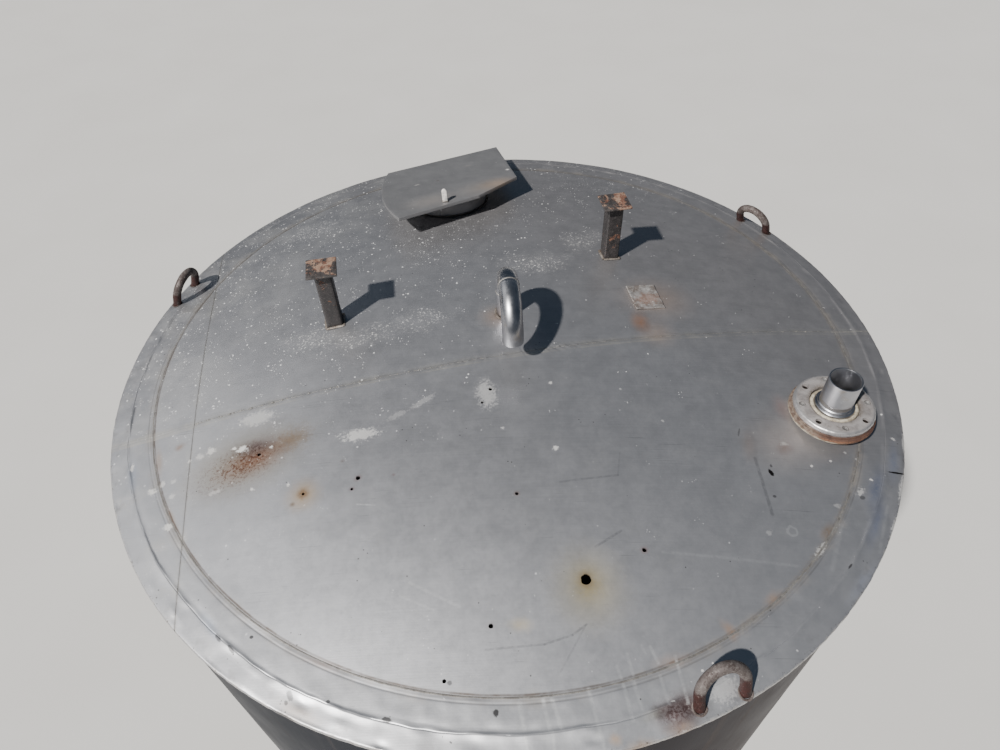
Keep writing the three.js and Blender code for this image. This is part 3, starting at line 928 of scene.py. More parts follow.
def hatch_cover(place, sheet):
    sides = hatch_sides()
    bm = bmesh.new()
    bmesh.ops.create_grid(bm, x_segments=96, y_segments=80, size=0.5)
    for v in bm.verts:
        v.co = Vector((v.co.x * 0.64, v.co.y * 0.54 - 0.09, 0))
    for x, y, ox, oy in sides:
        plane = {"plane_co": (x, y, 0), "plane_no": (ox, oy, 0)}
        bmesh.ops.bisect_plane(bm, geom=everything(bm), clear_outer=True, **plane)
    for v in bm.verts:
        x, y = v.co.x, v.co.y
        inside = max(0.0, min((sx - x) * ox + (sy - y) * oy for sx, sy, ox, oy in sides))
        bow = 0.0014 * n2(x, y, 5, 2.0) + 0.0004 * n2(x, y, 22, 5.0)
        v.co.z = HATCH_TOP - 0.0006 + bow * min(1.0, inside / 0.03) - 0.0010 * math.exp(-inside / 0.004)
    rim = [e for e in bm.edges if e.is_boundary]
    for v in bmesh.ops.extrude_edge_only(bm, edges=rim)["geom"]:
        if isinstance(v, bmesh.types.BMVert):
            v.co.z = HATCH_TOP - 0.0128 + 0.0005 * n2(v.co.x, v.co.y, 40, 1.0)
    bmesh.ops.recalc_face_normals(bm, faces=bm.faces[:])
    if sum(f.normal.z * f.calc_area() for f in bm.faces) < 0:
        bmesh.ops.reverse_faces(bm, faces=bm.faces[:])
    for v in bm.verts:
        v.co = place @ v.co
    ob = bm_object("hatch_cover_sheet", bm)
    thicken(ob, HATCH_THICK)
    bevel(ob, 0.0009, 2, 40)
    finish_piece(ob, sheet, "hatch_cover", 40)


def hatch_curb(place, sheet, weld):
    profile = ((0.134, -0.030), (0.134, 0.0745), (0.1352, 0.0758), (0.1388, 0.0758), (0.140, 0.0745))
    ob = lathe("hatch_curb_ring", (*profile, (0.140, -0.030)), 96, (*CURB_AT, 0))
    ob.data.transform(place)
    finish_piece(ob, sheet, "hatch_curb", 50)
    path, ups = [], []
    for c, s in around(160):
        p = place @ Vector((CURB_AT[0] + CURB_WELD_R * c, CURB_AT[1] + CURB_WELD_R * s, 0))
        path.append(roof_point(p.x, p.y, 0.0003))
        inward = (place.to_3x3() @ Vector((-c, -s, 0))) * 0.9
        ups.append((inward + UP).normalized())
    weld_bead(
        "hatch_curb_weld", weld, "hatch_sheet", path, normals=ups,
        width=0.013, height=0.006, seed=3.4, ripple=0.3, pitch=0.006,
    )


def round_rectangle(half_x, half_y, count):
    """Points from corner to corner round a rectangle."""
    corner = [(-half_x, -half_y), (half_x, -half_y), (half_x, half_y), (-half_x, half_y), (-half_x, -half_y)]
    for k in range(4):
        for i in range(count):
            t = i / count
            yield tuple(a * (1 - t) + b * t for a, b in zip(corner[k], corner[k + 1]))


def hatch_tab(place, pale, weld):
    """A small upright plate with a round top, welded to the cover."""
    half, thick = TAB_HALF
    turn = Matrix.Rotation(TAB_TURN, 4, "Z")
    tab = place @ Matrix.Translation((*TAB_AT, HATCH_TOP + 0.0003)) @ turn
    bow = [(half * c, TAB_TALL + half * s) for c, s in list(around(32))[:17]]
    bm = bmesh.new()
    rows = ([], [])
    for x, z in [(half, 0.0)] + bow + [(-half, 0.0)]:
        bend = 0.0020 * (z / (TAB_TALL + half)) ** 2
        for row, y in zip(rows, (-thick, thick)):
            row.append(bm.verts.new(tab @ Vector((x, y + bend, z))))
    bm.faces.new(rows[0])
    bm.faces.new(list(reversed(rows[1])))
    n = len(rows[0])
    for i in range(n):
        j = (i + 1) % n
        bm.faces.new((rows[0][j], rows[0][i], rows[1][i], rows[1][j]))
    bmesh.ops.recalc_face_normals(bm, faces=bm.faces[:])
    ob = bm_object("hatch_tab_plate", bm)
    bevel(ob, 0.0012, 3, 40)
    finish_piece(ob, pale, "hatch_tab", 45)
    path, ups = [], []
    for x, y in round_rectangle(half + 0.0005, thick + 0.0005, 10):
        path.append(tab @ Vector((x, y, 0.0004)))
        ups.append((tab.to_3x3() @ Vector((-x * 40, -y * 80, 1.0))).normalized())
    path.append(path[0].copy())
    ups.append(ups[0].copy())
    weld_bead(
        "hatch_tab_weld", weld, "hatch_tab", path, normals=ups,
        width=0.0060, height=0.0026, seed=1.7, ripple=0.4, pitch=0.004,
    )


def rounded_box(name, size, bevel_width, cuts, warp, seed, matrix):
    """A box with rounded edges whose faces are slightly uneven."""
    bm = bmesh.new()
    bmesh.ops.create_cube(bm, size=1.0)
    for axis, count in enumerate(cuts):
        for k in range(1, count):
            at, across = Vector((0, 0, 0)), Vector((0, 0, 0))
            at[axis] = -0.5 + k / count
            across[axis] = 1
            bmesh.ops.bisect_plane(bm, geom=everything(bm), plane_co=at, plane_no=across)
    for v in bm.verts:
        v.co = [c * s for c, s in zip(v.co, size)]
    sharp = [e for e in bm.edges if len(e.link_faces) == 2 and e.calc_face_angle(0) > 0.6]
    how = {"segments": 3, "affect": "EDGES", "profile": 0.5, "clamp_overlap": True}
    bmesh.ops.bevel(bm, geom=sharp, offset=bevel_width, **how)
    for v in bm.verts:
        x, y, z = v.co * 30
        v.co += Vector((n3(x, y, z + seed), n3(y, z, x + seed), n3(z, x, y + seed))) * warp
    ob = bm_object(name, bm)
    ob.data.transform(matrix)
    return ob


def build_posts(paint, worn, weld):
    turn = Matrix.Rotation(SHEET, 4, "Z")
    for name, (x, y) in POSTS.items():
        foot = base_rise(math.hypot(x, y)) - 0.006
        tall = POST_TOP - foot
        place = Matrix.Translation((x, y, LIP + foot + tall / 2)) @ turn
        size = (POST_SIDE, POST_SIDE, tall)
        ob = rounded_box(name + "_tube", size, 0.005, (4, 4, 14), 0.0004, x * 9, place)
        finish_piece(ob, paint, name, 50)
        place = Matrix.Translation((x, y, LIP + POST_TOP + 0.0003 + SADDLE[2] / 2)) @ turn
        ob = rounded_box(name + "_saddle_plate", SADDLE, 0.0016, (5, 5, 1), 0.00015, x * 7, place)
        finish_piece(ob, worn, name + "_saddle", 50)
        path, ups = [], []
        half = POST_SIDE / 2 + 0.0025
        for px, py in round_rectangle(half, half, 24):
            wx, wy = turn_xy(px, py, SHEET)
            path.append(roof_point(x + wx, y + wy, 0.0003))
            ups.append((Vector((-wx, -wy, 0)) / half * 0.6 + UP).normalized())
        path.append(path[0].copy())
        ups.append(ups[0].copy())
        weld_bead(
            name + "_foot_weld", weld, "post_paint", path, normals=ups,
            width=0.011, height=0.006, seed=x * 5, ripple=0.4, pitch=0.006,
        )


def build_pad(mat, nx=26, ny=30):
    """A thin plate on the crown, lifted a little along its left and rear edge."""
    bm = bmesh.new()
    grid = []
    for j in range(ny + 1):
        line = []
        for i in range(nx + 1):
            s, t = i / nx - 0.5, j / ny - 0.5
            px = PAD_SIZE[0] * s + 0.0015 * n3(t * 7, 1.0, 3.0)
            py = PAD_SIZE[1] * t + 0.0015 * n3(s * 7, 4.0, 3.0)
            wx, wy = turn_xy(px, py, SHEET)
            lift = 0.0055 + 0.0018 * n2(s, t, 3, 6.0)
            lift += 0.0065 * max(0.0, -s * 2 - 0.45) ** 1.5 + 0.0050 * max(0.0, (t * 2) - 0.55) ** 1.5
            line.append(bm.verts.new(roof_point(PAD_AT[0] + wx, PAD_AT[1] + wy, lift)))
        grid.append(line)
    weave(bm, grid, flip=True)
    ob = bm_object("pad_plate_sheet", bm)
    thicken(ob, PAD_THICK)
    bevel(ob, 0.0010, 2, 50)
    finish_piece(ob, mat, "pad_plate", 45)

# node helper


class Nodes:
    """A material, short calls for its nodes, and a colour that is built up layer by layer."""

    def __init__(self, name):
        self.mat = bpy.data.materials.new(name)
        self.mat.use_nodes = True
        self.mat.node_tree.nodes.clear()
        self.pos = self.node("TexCoord", out="Object")
        self.colour = None
        self.dirt = 0.0

    def put(self, sock, value):
        if isinstance(value, bpy.types.NodeSocket):
            self.mat.node_tree.links.new(value, sock)
        elif sock.type == "RGBA":
            sock.default_value = tuple(value) + (1.0,)
        else:
            sock.default_value = value

    def node(self, kind, inputs=None, out=0, **settings):
        """Adds a node with its settings and inputs and returns one of its outputs."""
        made = self.mat.node_tree.nodes.new("ShaderNode" + kind)
        for key, value in settings.items():
            setattr(made, key, value)
        for key, value in (inputs or {}).items():
            self.put(made.inputs[key], value)
        return made.outputs[out]

    def math(self, op, a, b=0.0, c=0.5, clamp=False):
        return self.node("Math", {0: a, 1: b, 2: c}, operation=op, use_clamp=clamp)

    def mul(self, first, *others, clamp=False):
        for other in others:
            first = self.math("MULTIPLY", first, other, clamp=clamp)
        return first

    def add(self, a, b, clamp=False):
        return self.math("ADD", a, b, clamp=clamp)

    def sub(self, a, b, clamp=False):
        return self.math("SUBTRACT", a, b, clamp=clamp)

    def muladd(self, a, b, c):
        return self.math("MULTIPLY_ADD", a, b, c)

    def blend(self, a, share_a, b, share_b):
        return self.add(self.mul(a, share_a), self.mul(b, share_b))

    def vec(self, op, a, b=(0, 0, 0), **more):
        out = 1 if op in ("DISTANCE", "LENGTH", "DOT_PRODUCT") else 0
        return self.node("VectorMath", {0: a, 1: b, **more}, out, operation=op)

    def scaled(self, *factors):
        return self.vec("MULTIPLY", self.pos, factors)

    def axis(self, name):
        return self.node("SeparateXYZ", {0: self.pos}, name)

    def noise(self, at, scale, detail, rough, distort=0.0, out="Fac"):
        inputs = {"Vector": at, "Scale": scale, "Detail": detail, "Roughness": rough, "Distortion": distort}
        return self.node("TexNoise", inputs, out)

    def noises(self, *rows):
        return [self.noise(self.pos, *row) for row in rows]

    def cells(self, at, scale, shift=None):
        """Distance to the nearest of many scattered points."""
        at = self.vec("ADD", at, shift) if shift else at
        return self.node("TexVoronoi", {"Vector": at, "Scale": scale}, "Distance", feature="F1")

    def ramp(self, value, lo, hi, a=0.0, b=1.0):
        """Goes softly from a to b while the value goes from lo to hi."""
        inputs = {"Value": value, "From Min": lo, "From Max": hi, "To Min": a, "To Max": b}
        return self.node("MapRange", inputs, interpolation_type="SMOOTHSTEP")

    def fall(self, value, lo, hi, top=1.0):
        return self.ramp(value, lo, hi, top, 0.0)

    def near(self, value, at, lo, hi):
        """1 where the value lies near a given one, 0 away from it."""
        return self.fall(self.math("ABSOLUTE", self.sub(value, at)), lo, hi)

    def mix(self, fac, a, b, blend="MIX"):
        return self.node("Mix", {0: fac, 6: a, 7: b}, 2, data_type="RGBA", blend_type=blend)

    def mixf(self, fac, a, b):
        return self.node("Mix", {0: fac, 2: a, 3: b}, data_type="FLOAT")

    def over(self, tone, *masks):
        """Covers the colour with a tone where the masks are 1."""
        self.colour = self.mix(self.mul(*masks), self.colour, tone)

    def tint(self, tone, *masks):
        """Multiplies the colour by a tone where the masks are 1."""
        self.colour = self.mix(self.mul(*masks), self.colour, tone, "MULTIPLY")

    def soil(self, mask):
        self.dirt = self.math("MAXIMUM", self.dirt, mask)

    def stretched(self, at, turn, along, across, seed):
        places = {"Location": (seed, seed * 0.7, 0), "Rotation": (0, 0, math.radians(turn))}
        return self.node("Mapping", {"Vector": at, "Scale": (along, across, 1), **places})

    def spot(self, at, x, y, rx, ry, turn=0.0):
        """Distance from a point, 1 at the outline of a turned ellipse."""
        if abs(rx - ry) < 1e-6:
            return self.mul(self.vec("DISTANCE", at, (x, y, 0)), 1.0 / rx)
        c, s = math.cos(math.radians(turn)), math.sin(math.radians(turn))
        rel = self.vec("SUBTRACT", at, (x, y, 0))
        a = self.vec("DOT_PRODUCT", rel, (c / rx, s / rx, 0))
        b = self.vec("DOT_PRODUCT", rel, (-s / ry, c / ry, 0))
        return self.math("SQRT", self.muladd(a, a, self.mul(b, b)))

    def blot(self, at, grain, place, ragged, lo, hi):
        """1 inside a ragged ellipse, falling to 0 between lo and hi times its size."""
        d = self.muladd(grain, ragged * 2.2, self.spot(at, *place))
        return self.fall(d, lo + ragged * 1.1, hi + ragged * 1.1)

    def stroke(self, at, a, b):
        """Distance from each point to the straight stretch between a and b."""
        a = Vector((*a, 0))
        d = Vector((*b, 0)) - a
        rel = self.vec("SUBTRACT", at, tuple(a))
        t = self.mul(self.vec("DOT_PRODUCT", rel, tuple(d)), 1.0 / d.length_squared, clamp=True)
        return self.vec("LENGTH", self.vec("SUBTRACT", rel, self.vec("SCALE", tuple(d), Scale=t)))

    def finish(self, rough, metal=0.0, bump=None, **more):
        """Puts colour, surface and bump (height, strength, distance) on the shader."""
        inputs = {"Base Color": self.colour, "Metallic": metal, "Roughness": rough}
        for key, value in more.items():
            inputs[key.replace("_", " ")] = value
        if bump:
            inputs["Normal"] = self.node("Bump", dict(zip(("Height", "Strength", "Distance"), bump)))
        shader = self.node("BsdfPrincipled", inputs)
        out = self.mat.node_tree.nodes.new("ShaderNodeOutputMaterial")
        self.put(out.inputs[0], shader)
        return self.mat

    def finish_dirty(self, rough, metal, bump, metal_loss, rough_gain):
        """Ends a material whose dirt takes away shine."""
        metal = self.sub(metal, self.mul(self.dirt, metal_loss), clamp=True)
        rough = self.add(rough, self.mul(self.dirt, rough_gain), clamp=True)
        return self.finish(rough, metal, bump)


# marks of the roof

RUST_SPOTS = (
    # x, y, rx, ry, turn, tint of the sheet, strength
    (0.185, -0.842, 0.088, 0.094, 10, (0.86, 0.76, 0.50), 0.90),
    (0.182, -0.832, 0.042, 0.046, 0, (0.82, 0.70, 0.42), 0.65),
    (0.180, -0.825, 0.021, 0.021, 0, (0.55, 0.42, 0.28), 0.80),
    (-0.531, -0.572, 0.046, 0.046, 0, (0.86, 0.63, 0.38), 0.95),
    (-0.531, -0.571, 0.017, 0.017, 0, (0.45, 0.30, 0.15), 0.95),
    (-0.556, -0.597, 0.008, 0.007, 0, (0.45, 0.36, 0.28), 0.90),
    (-0.926, -0.369, 0.017, 0.013, 15, (0.62, 0.45, 0.36), 0.95),
    (0.660, -0.452, 0.022, 0.052, -14, (0.66, 0.60, 0.57), 0.90),
    (0.790, -0.315, 0.026, 0.044, 5, (0.78, 0.60, 0.56), 0.90),
    (0.760, -0.430, 0.110, 0.090, 20, (0.86, 0.77, 0.71), 0.90),
    (0.760, -0.455, 0.028, 0.018, 20, (0.74, 0.61, 0.57), 0.80),
    (0.501, -0.938, 0.014, 0.026, 30, (0.78, 0.56, 0.42), 1.00),
    (0.623, -0.864, 0.026, 0.016, 35, (0.84, 0.65, 0.53), 1.00),
    (0.807, -0.691, 0.014, 0.030, -40, (0.60, 0.48, 0.38), 1.00),
    (0.357, -1.005, 0.046, 0.016, 12, (0.84, 0.70, 0.62), 1.00),
    (0.213, -1.157, 0.014, 0.012, 8, (1.00, 0.76, 0.56), 0.95),
    (0.262, -1.172, 0.034, 0.015, 12, (0.86, 0.66, 0.50), 0.95),
    (0.350, -1.110, 0.050, 0.032, 15, (0.55, 0.42, 0.40), 1.00),
    (0.382, -1.096, 0.036, 0.034, 10, (0.20, 0.12, 0.115), 1.00),
    (0.330, -1.103, 0.036, 0.016, 12, (0.32, 0.26, 0.26), 0.90),
    (0.357, -1.138, 0.036, 0.016, 14, (0.92, 0.70, 0.56), 1.00),
    (0.300, -1.112, 0.034, 0.012, 14, (0.52, 0.52, 0.46), 0.85),
    (0.426, -0.004, 0.030, 0.045, 0, (0.86, 0.50, 0.33), 1.00),
    (0.468, -0.050, 0.060, 0.060, 0, (0.90, 0.72, 0.60), 0.80),
    (0.490, 0.110, 0.115, 0.100, 0, (0.84, 0.66, 0.54), 0.90),
    (-0.020, 0.020, 0.050, 0.050, 0, (0.82, 0.62, 0.48), 0.90),
    (0.020, -0.925, 0.030, 0.016, 0, (0.98, 0.84, 0.60), 0.80),
    (0.985, -0.560, 0.022, 0.090, -29, (0.40, 0.45, 0.60), 1.00),
    (0.950, -0.660, 0.018, 0.090, -34, (0.46, 0.51, 0.66), 0.95),
    (1.070, -0.470, 0.018, 0.080, -24, (0.50, 0.56, 0.72), 0.90),
    (0.860, -0.820, 0.014, 0.080, -46, (0.66, 0.71, 0.82), 0.80),
    (-0.474, -1.084, 0.060, 0.016, -24, (0.92, 0.80, 0.70), 0.80),
    (-1.045, -0.450, 0.016, 0.060, 20, (0.66, 0.73, 0.84), 0.75),
    (-0.715, -0.888, 0.050, 0.014, -50, (0.66, 0.73, 0.84), 0.75),
    (-0.979, -0.409, 0.012, 0.050, 20, (0.82, 0.66, 0.54), 0.90),
    (-0.892, -0.592, 0.010, 0.050, 34, (0.80, 0.66, 0.54), 0.80),
    (-0.434, -0.987, 0.050, 0.010, -22, (0.94, 0.78, 0.68), 0.80),
    (-0.389, -0.537, 0.012, 0.009, 30, (0.40, 0.24, 0.24), 1.00),
    (-0.402, -0.568, 0.008, 0.006, 10, (0.46, 0.30, 0.30), 1.00),
    (-0.437, -0.482, 0.007, 0.006, 0, (0.45, 0.40, 0.38), 0.90),
    (-0.295, -0.535, 0.006, 0.005, 0, (0.45, 0.34, 0.34), 0.90),
    (0.328, -0.756, 0.011, 0.010, 0, (0.45, 0.28, 0.28), 1.00),
    (0.024, -0.605, 0.009, 0.008, 0, (0.45, 0.30, 0.26), 1.00),
    (-0.047, -0.925, 0.011, 0.010, 0, (0.62, 0.58, 0.58), 0.90),
)
DARK_SPOTS = (
    # x, y, rx, ry, turn, strength
    (0.700, -0.533, 0.006, 0.011, 25, 1.00),
    (0.705, -0.512, 0.004, 0.005, 0, 0.55),
    (-0.496, -1.050, 0.014, 0.007, -60, 0.55),
    (-0.503, -1.064, 0.006, 0.004, -60, 0.60),
    (0.640, -0.412, 0.003, 0.015, -20, 0.40),
    (-0.140, -1.040, 0.006, 0.005, 0, 0.60),
    (1.066, -0.5065, 0.027, 0.0030, -3, 1.00),
    (0.937, -0.590, 0.008, 0.006, 20, 0.50),
    (0.839, -0.781, 0.010, 0.0026, 42, 0.70),
    (0.692, -0.602, 0.005, 0.004, 0, 0.60),
    (-0.607, -0.919, 0.005, 0.004, 0, 0.80),
    (-0.688, -0.916, 0.012, 0.005, -48, 0.65),
    (-0.651, -0.944, 0.014, 0.004, -46, 0.65),
    (-0.508, -1.087, 0.030, 0.0035, -25, 0.60),
    (-0.408, -1.067, 0.005, 0.004, 0, 0.70),
    (-0.274, -1.108, 0.012, 0.006, -14, 0.80),
    (-0.039, -1.102, 0.007, 0.008, 0, 0.85),
    (0.777, -0.735, 0.004, 0.003, 0, 0.80),
)
SCRATCHES = (
    # from, to, half width, strength, light or dark
    ((0.137, -0.575), (0.287, -0.557), 0.0040, 0.30, 0),
    ((0.287, -0.557), (0.300, -0.490), 0.0030, 0.18, 0),
    ((-0.060, -0.975), (0.074, -0.967), 0.0034, 0.34, 0),
    ((0.074, -0.967), (0.139, -0.948), 0.0034, 0.36, 0),
    ((0.139, -0.948), (0.172, -0.926), 0.0034, 0.40, 0),
    ((0.170, -0.928), (0.106, -1.024), 0.0030, 0.24, 0),
    ((0.210, -0.748), (0.277, -0.708), 0.0040, 0.40, 0),
    ((0.666, -0.492), (0.673, -0.652), 0.0065, 0.40, 0),
    ((0.372, -0.760), (0.709, -0.785), 0.0060, 0.22, 1),
    ((0.013, -1.085), (0.020, -1.134), 0.0085, 0.55, 1),
    ((0.064, -1.079), (0.075, -1.137), 0.0070, 0.60, 1),
    ((0.084, -1.079), (0.099, -1.133), 0.0075, 0.60, 1),
    ((0.165, -1.060), (0.187, -1.172), 0.0070, 0.48, 1),
    ((0.242, -1.052), (0.254, -1.122), 0.0070, 0.55, 1),
    ((0.265, -1.046), (0.277, -1.102), 0.0065, 0.42, 1),
    ((0.326, -1.035), (0.336, -1.090), 0.0060, 0.42, 1),
    ((0.366, -0.995), (0.379, -1.090), 0.0060, 0.50, 1),
    ((0.022, -1.150), (0.026, -1.176), 0.0060, 0.40, 1),
    ((0.080, -1.140), (0.083, -1.178), 0.0060, 0.45, 1),
    ((0.312, -0.975), (0.325, -1.008), 0.0060, 0.45, 1),
    ((0.258, -0.990), (0.266, -1.032), 0.0060, 0.38, 1),
    ((0.232, -1.015), (0.239, -1.038), 0.0060, 0.38, 1),
    ((0.292, -0.972), (0.299, -0.990), 0.0050, 0.38, 1),
    ((0.851, -0.673), (0.790, -0.790), 0.0100, 0.22, 1),
    ((1.000, -0.610), (0.930, -0.740), 0.0070, 0.22, 1),
    ((-0.384, -0.612), (-0.338, -0.618), 0.0035, 0.60, 1),
    ((-0.240, -0.820), (-0.120, -0.880), 0.0060, 0.30, 1),
    ((-0.260, -0.850), (-0.180, -0.885), 0.0050, 0.25, 1),
)
PALE_SPOTS = (
    # x, y, rx, ry, turn, strength
    (-0.398, -0.402, 0.054, 0.020, 4, 0.60),
    (-0.300, -0.345, 0.034, 0.012, 25, 0.20),
    (-0.230, -0.305, 0.044, 0.010, 35, 0.22),
    (-0.050, -0.290, 0.028, 0.050, 10, 0.42),
    (0.131, -0.476, 0.008, 0.008, 0, 0.75),
    (0.133, -0.258, 0.006, 0.006, 0, 0.70),
    (0.329, -0.280, 0.004, 0.004, 0, 0.40),
    (0.432, -0.385, 0.004, 0.004, 0, 0.35),
    (-0.008, -0.408, 0.005, 0.005, 0, 0.45),
    (-0.731, -0.408, 0.016, 0.012, 10, 1.0),
    (-0.755, -0.402, 0.006, 0.006, 0, 0.95),
    (-0.824, -0.402, 0.015, 0.013, 0, 0.70),
    (-0.854, -0.414, 0.012, 0.011, 0, 0.50),
    (-0.646, -0.412, 0.006, 0.005, 0, 0.90),
    (-0.706, -0.308, 0.054, 0.026, 8, 0.42),
    (-0.782, -0.534, 0.020, 0.008, 30, 0.35),
    (-0.677, -0.539, 0.007, 0.006, 0, 0.85),
    (-0.577, -0.537, 0.006, 0.006, 0, 0.75),
    (-0.970, -0.506, 0.014, 0.010, 0, 0.85),
    (-0.946, -0.487, 0.009, 0.010, 0, 0.55),
    (-1.058, -0.417, 0.006, 0.014, 0, 0.75),
    (-0.891, -0.620, 0.013, 0.012, 0, 0.90),
    (-0.906, -0.529, 0.011, 0.008, 0, 0.45),
    (-0.913, -0.482, 0.009, 0.007, 0, 0.45),
    (-0.882, -0.423, 0.006, 0.006, 0, 0.70),
    (0.980, -0.534, 0.006, 0.004, 0, 0.85),
    # painted highlights: the next three tiny pale spots, near the front lug, are sun glints
    (0.422, -1.025, 0.003, 0.003, 10, 0.90),
    (0.449, -1.010, 0.003, 0.003, 10, 0.90),
    (0.345, -1.086, 0.006, 0.002, 10, 0.70),
    (0.460, -1.062, 0.040, 0.030, 15, 0.28),
    (0.938, -0.570, 0.015, 0.009, 20, 0.45),
    (0.882, -0.483, 0.005, 0.004, 0, 0.70),
    (0.822, -0.504, 0.004, 0.004, 0, 0.75),
    (1.099, -0.393, 0.009, 0.005, -40, 0.60),
    (0.934, -0.453, 0.005, 0.004, 0, 0.40),
    (0.962, -0.470, 0.005, 0.004, 0, 0.40),
    (0.858, -0.617, 0.009, 0.008, 0, 0.25),
    (0.777, -0.740, 0.008, 0.028, -45, 0.45),
    (1.062, -0.552, 0.008, 0.046, -27, 0.55),
    (1.127, -0.405, 0.006, 0.040, -20, 0.50),
    (0.996, -0.668, 0.006, 0.030, -34, 0.40),
    (0.760, -0.440, 0.012, 0.007, 0, 0.38),
    (0.365, -1.150, 0.022, 0.008, 18, 0.55),
    (-0.597, -0.021, 0.100, 0.050, 0, 0.60),
    (-0.438, -0.030, 0.130, 0.050, 8, 0.65),
    (-0.255, 0.020, 0.110, 0.050, 15, 0.55),
    (0.120, 0.300, 0.110, 0.060, 10, 0.65),
    (0.300, 0.420, 0.090, 0.060, 30, 0.55),
    (-0.700, 0.620, 0.110, 0.070, 40, 0.55),
    (0.653, -0.702, 0.009, 0.009, 0, 0.20),
)
PATCH = (
    # place, raggedness, reach, part of the stain it shows in, tint
    ((-0.712, -0.447, 0.195, 0.120, 22), 0.7, 1.2, (0.40, 0.56, 0.60, 1.0), (0.79, 0.69, 0.52)),
    ((-0.692, -0.447, 0.122, 0.060, 22), 0.8, 1.15, (0.38, 0.52, 0.62, 1.0), (0.50, 0.29, 0.22)),
    ((-0.692, -0.408, 0.072, 0.036, 14), 0.9, 1.2, (0.42, 0.54, 0.55, 1.0), (0.36, 0.30, 0.34)),
)
HATCH_STAINS = (
    # x, y, rx, ry, strength, tone
    (0.000, 0.722, 0.075, 0.050, 0.60, (0.27, 0.185, 0.125)),
    (-0.030, 0.700, 0.130, 0.070, 0.40, (0.25, 0.195, 0.15)),
    (-0.240, 0.600, 0.110, 0.060, 0.35, (0.24, 0.20, 0.17)),
    (-0.230, 0.787, 0.010, 0.008, 0.85, (0.05, 0.045, 0.045)),
    (-0.116, 0.927, 0.016, 0.008, 0.60, (0.10, 0.09, 0.085)),
    (0.039, 0.855, 0.008, 0.008, 0.85, (0.72, 0.71, 0.69)),
    (-0.307, 0.762, 0.012, 0.005, 0.50, (0.50, 0.48, 0.44)),
)
STRIPES = (-9.0, -0.42, 0.28, 9.0)

# materials of the roof

ROOF_ROUGH = 0.44
ROOF_METAL = 0.80


def stripe_faces(ob, mats):
    """Gives each face of a front sheet the material of the stripe it lies in."""
    for extra in mats[1:]:
        ob.data.materials.append(extra)
    if len(mats) > 1:
        for face in ob.data.polygons:
            face.material_index = sum(face.center.x > edge for edge in STRIPES[1:-1])


def in_region(region, x, y, reach):
    """Whether a mark reaches onto a sheet of the roof, or onto a stripe of it."""
    kind, part, stripe = region
    if stripe is not None:
        margin = reach + 0.015
        if x + margin < STRIPES[stripe] or x - margin > STRIPES[stripe + 1]:
            return False
    r = math.hypot(x, y)
    if kind == "crown" and r - reach > WELD_R:
        return False
    if kind == "ring" and r + reach < WELD_R:
        return False
    u, v = sheet_uv(x, y)
    if part == "left":
        return u - reach < LEFT_U
    if u + reach < LEFT_U:
        return False
    return v - reach < CROSS_V if part == "front" else v + reach > CROSS_V


def shade(tone, *factors):
    return tuple(value * factor for value, factor in zip(tone, factors))


def steel_base(m, dark, light, streak_turn):
    """Weathered bare sheet with clouds and brushing; keeps its noises for later layers."""
    big, m.cloud, m.fine, mottle = m.noises((1.5, 3, 0.5), (6.5, 4, 0.62), (60, 4, 0.72), (19, 4, 0.7))
    mixed = m.blend(big, 0.30, m.cloud, 0.25)
    m.colour = m.mix(m.ramp(m.muladd(mottle, 0.45, mixed), 0.30, 0.70), dark, light)
    m.brush = m.noise(m.stretched(m.pos, streak_turn, 3.0, 240.0, 1.7), 1.0, 3, 0.6)
    m.over(shade(light, 1.12, 1.12, 1.14), m.ramp(m.brush, 0.42, 0.72), 0.22)
    m.over(shade(dark, 0.72, 0.72, 0.76), m.ramp(m.fine, 0.52, 0.80), 0.30)
    even = m.ramp(mottle, 0.3, 0.7, ROOF_ROUGH - 0.02, ROOF_ROUGH + 0.02)
    return m.muladd(m.sub(m.fine, 0.5), 0.12, even)


def shaken(m, wob, reach):
    """Flat places moved a little by a coloured noise, for ragged outlines."""
    return m.vec("ADD", m.flat, m.vec("MULTIPLY", m.vec("SUBTRACT", wob, (0.5, 0.5, 0.5)), (reach, reach, 0)))


def painted_front_sheen(m):
    """Painted highlight: the front of the roof, its outer band most of all, is painted lighter where the
    sun's broad sheen lies; the far left of the outer band is painted darker and the rear right warmer.
    """
    m.over((0.460, 0.461, 0.478), m.fall(m.y, -1.05, -0.35, 0.65))
    band = m.mul(m.ramp(m.r, 1.085, 1.10), m.fall(m.muladd(m.x, 0.35, m.y), -1.05, -0.55))
    m.over((0.56, 0.56, 0.57), band, 0.55)
    m.tint((0.80, 0.80, 0.81), m.ramp(m.r, 1.075, 1.10), m.fall(m.x, -1.05, -0.60, 0.60))
    m.over((0.56, 0.565, 0.585), m.fall(m.muladd(m.x, 0.5, m.y), -1.05, -0.60, 0.35))
    m.tint((0.99, 0.95, 0.915), m.ramp(m.muladd(m.x, 0.8, m.y), 0.0, 0.9), 0.8)


def fine_scratches(m):
    """Scratches with no fixed place, in three directions."""
    for turn, seed, lim in ((25, 3.1, 0.68), (-48, 7.7, 0.70), (80, 12.3, 0.71)):
        line = m.noise(m.stretched(m.flat, turn, 5.0, 330.0, seed), 1.0, 2, 0.5)
        gate = m.noise(m.pos, 4.0 + seed * 0.2, 1, 0.5)
        m.over((0.17, 0.17, 0.18), m.ramp(line, lim, lim + 0.05), m.ramp(gate, 0.50, 0.60), 0.55)


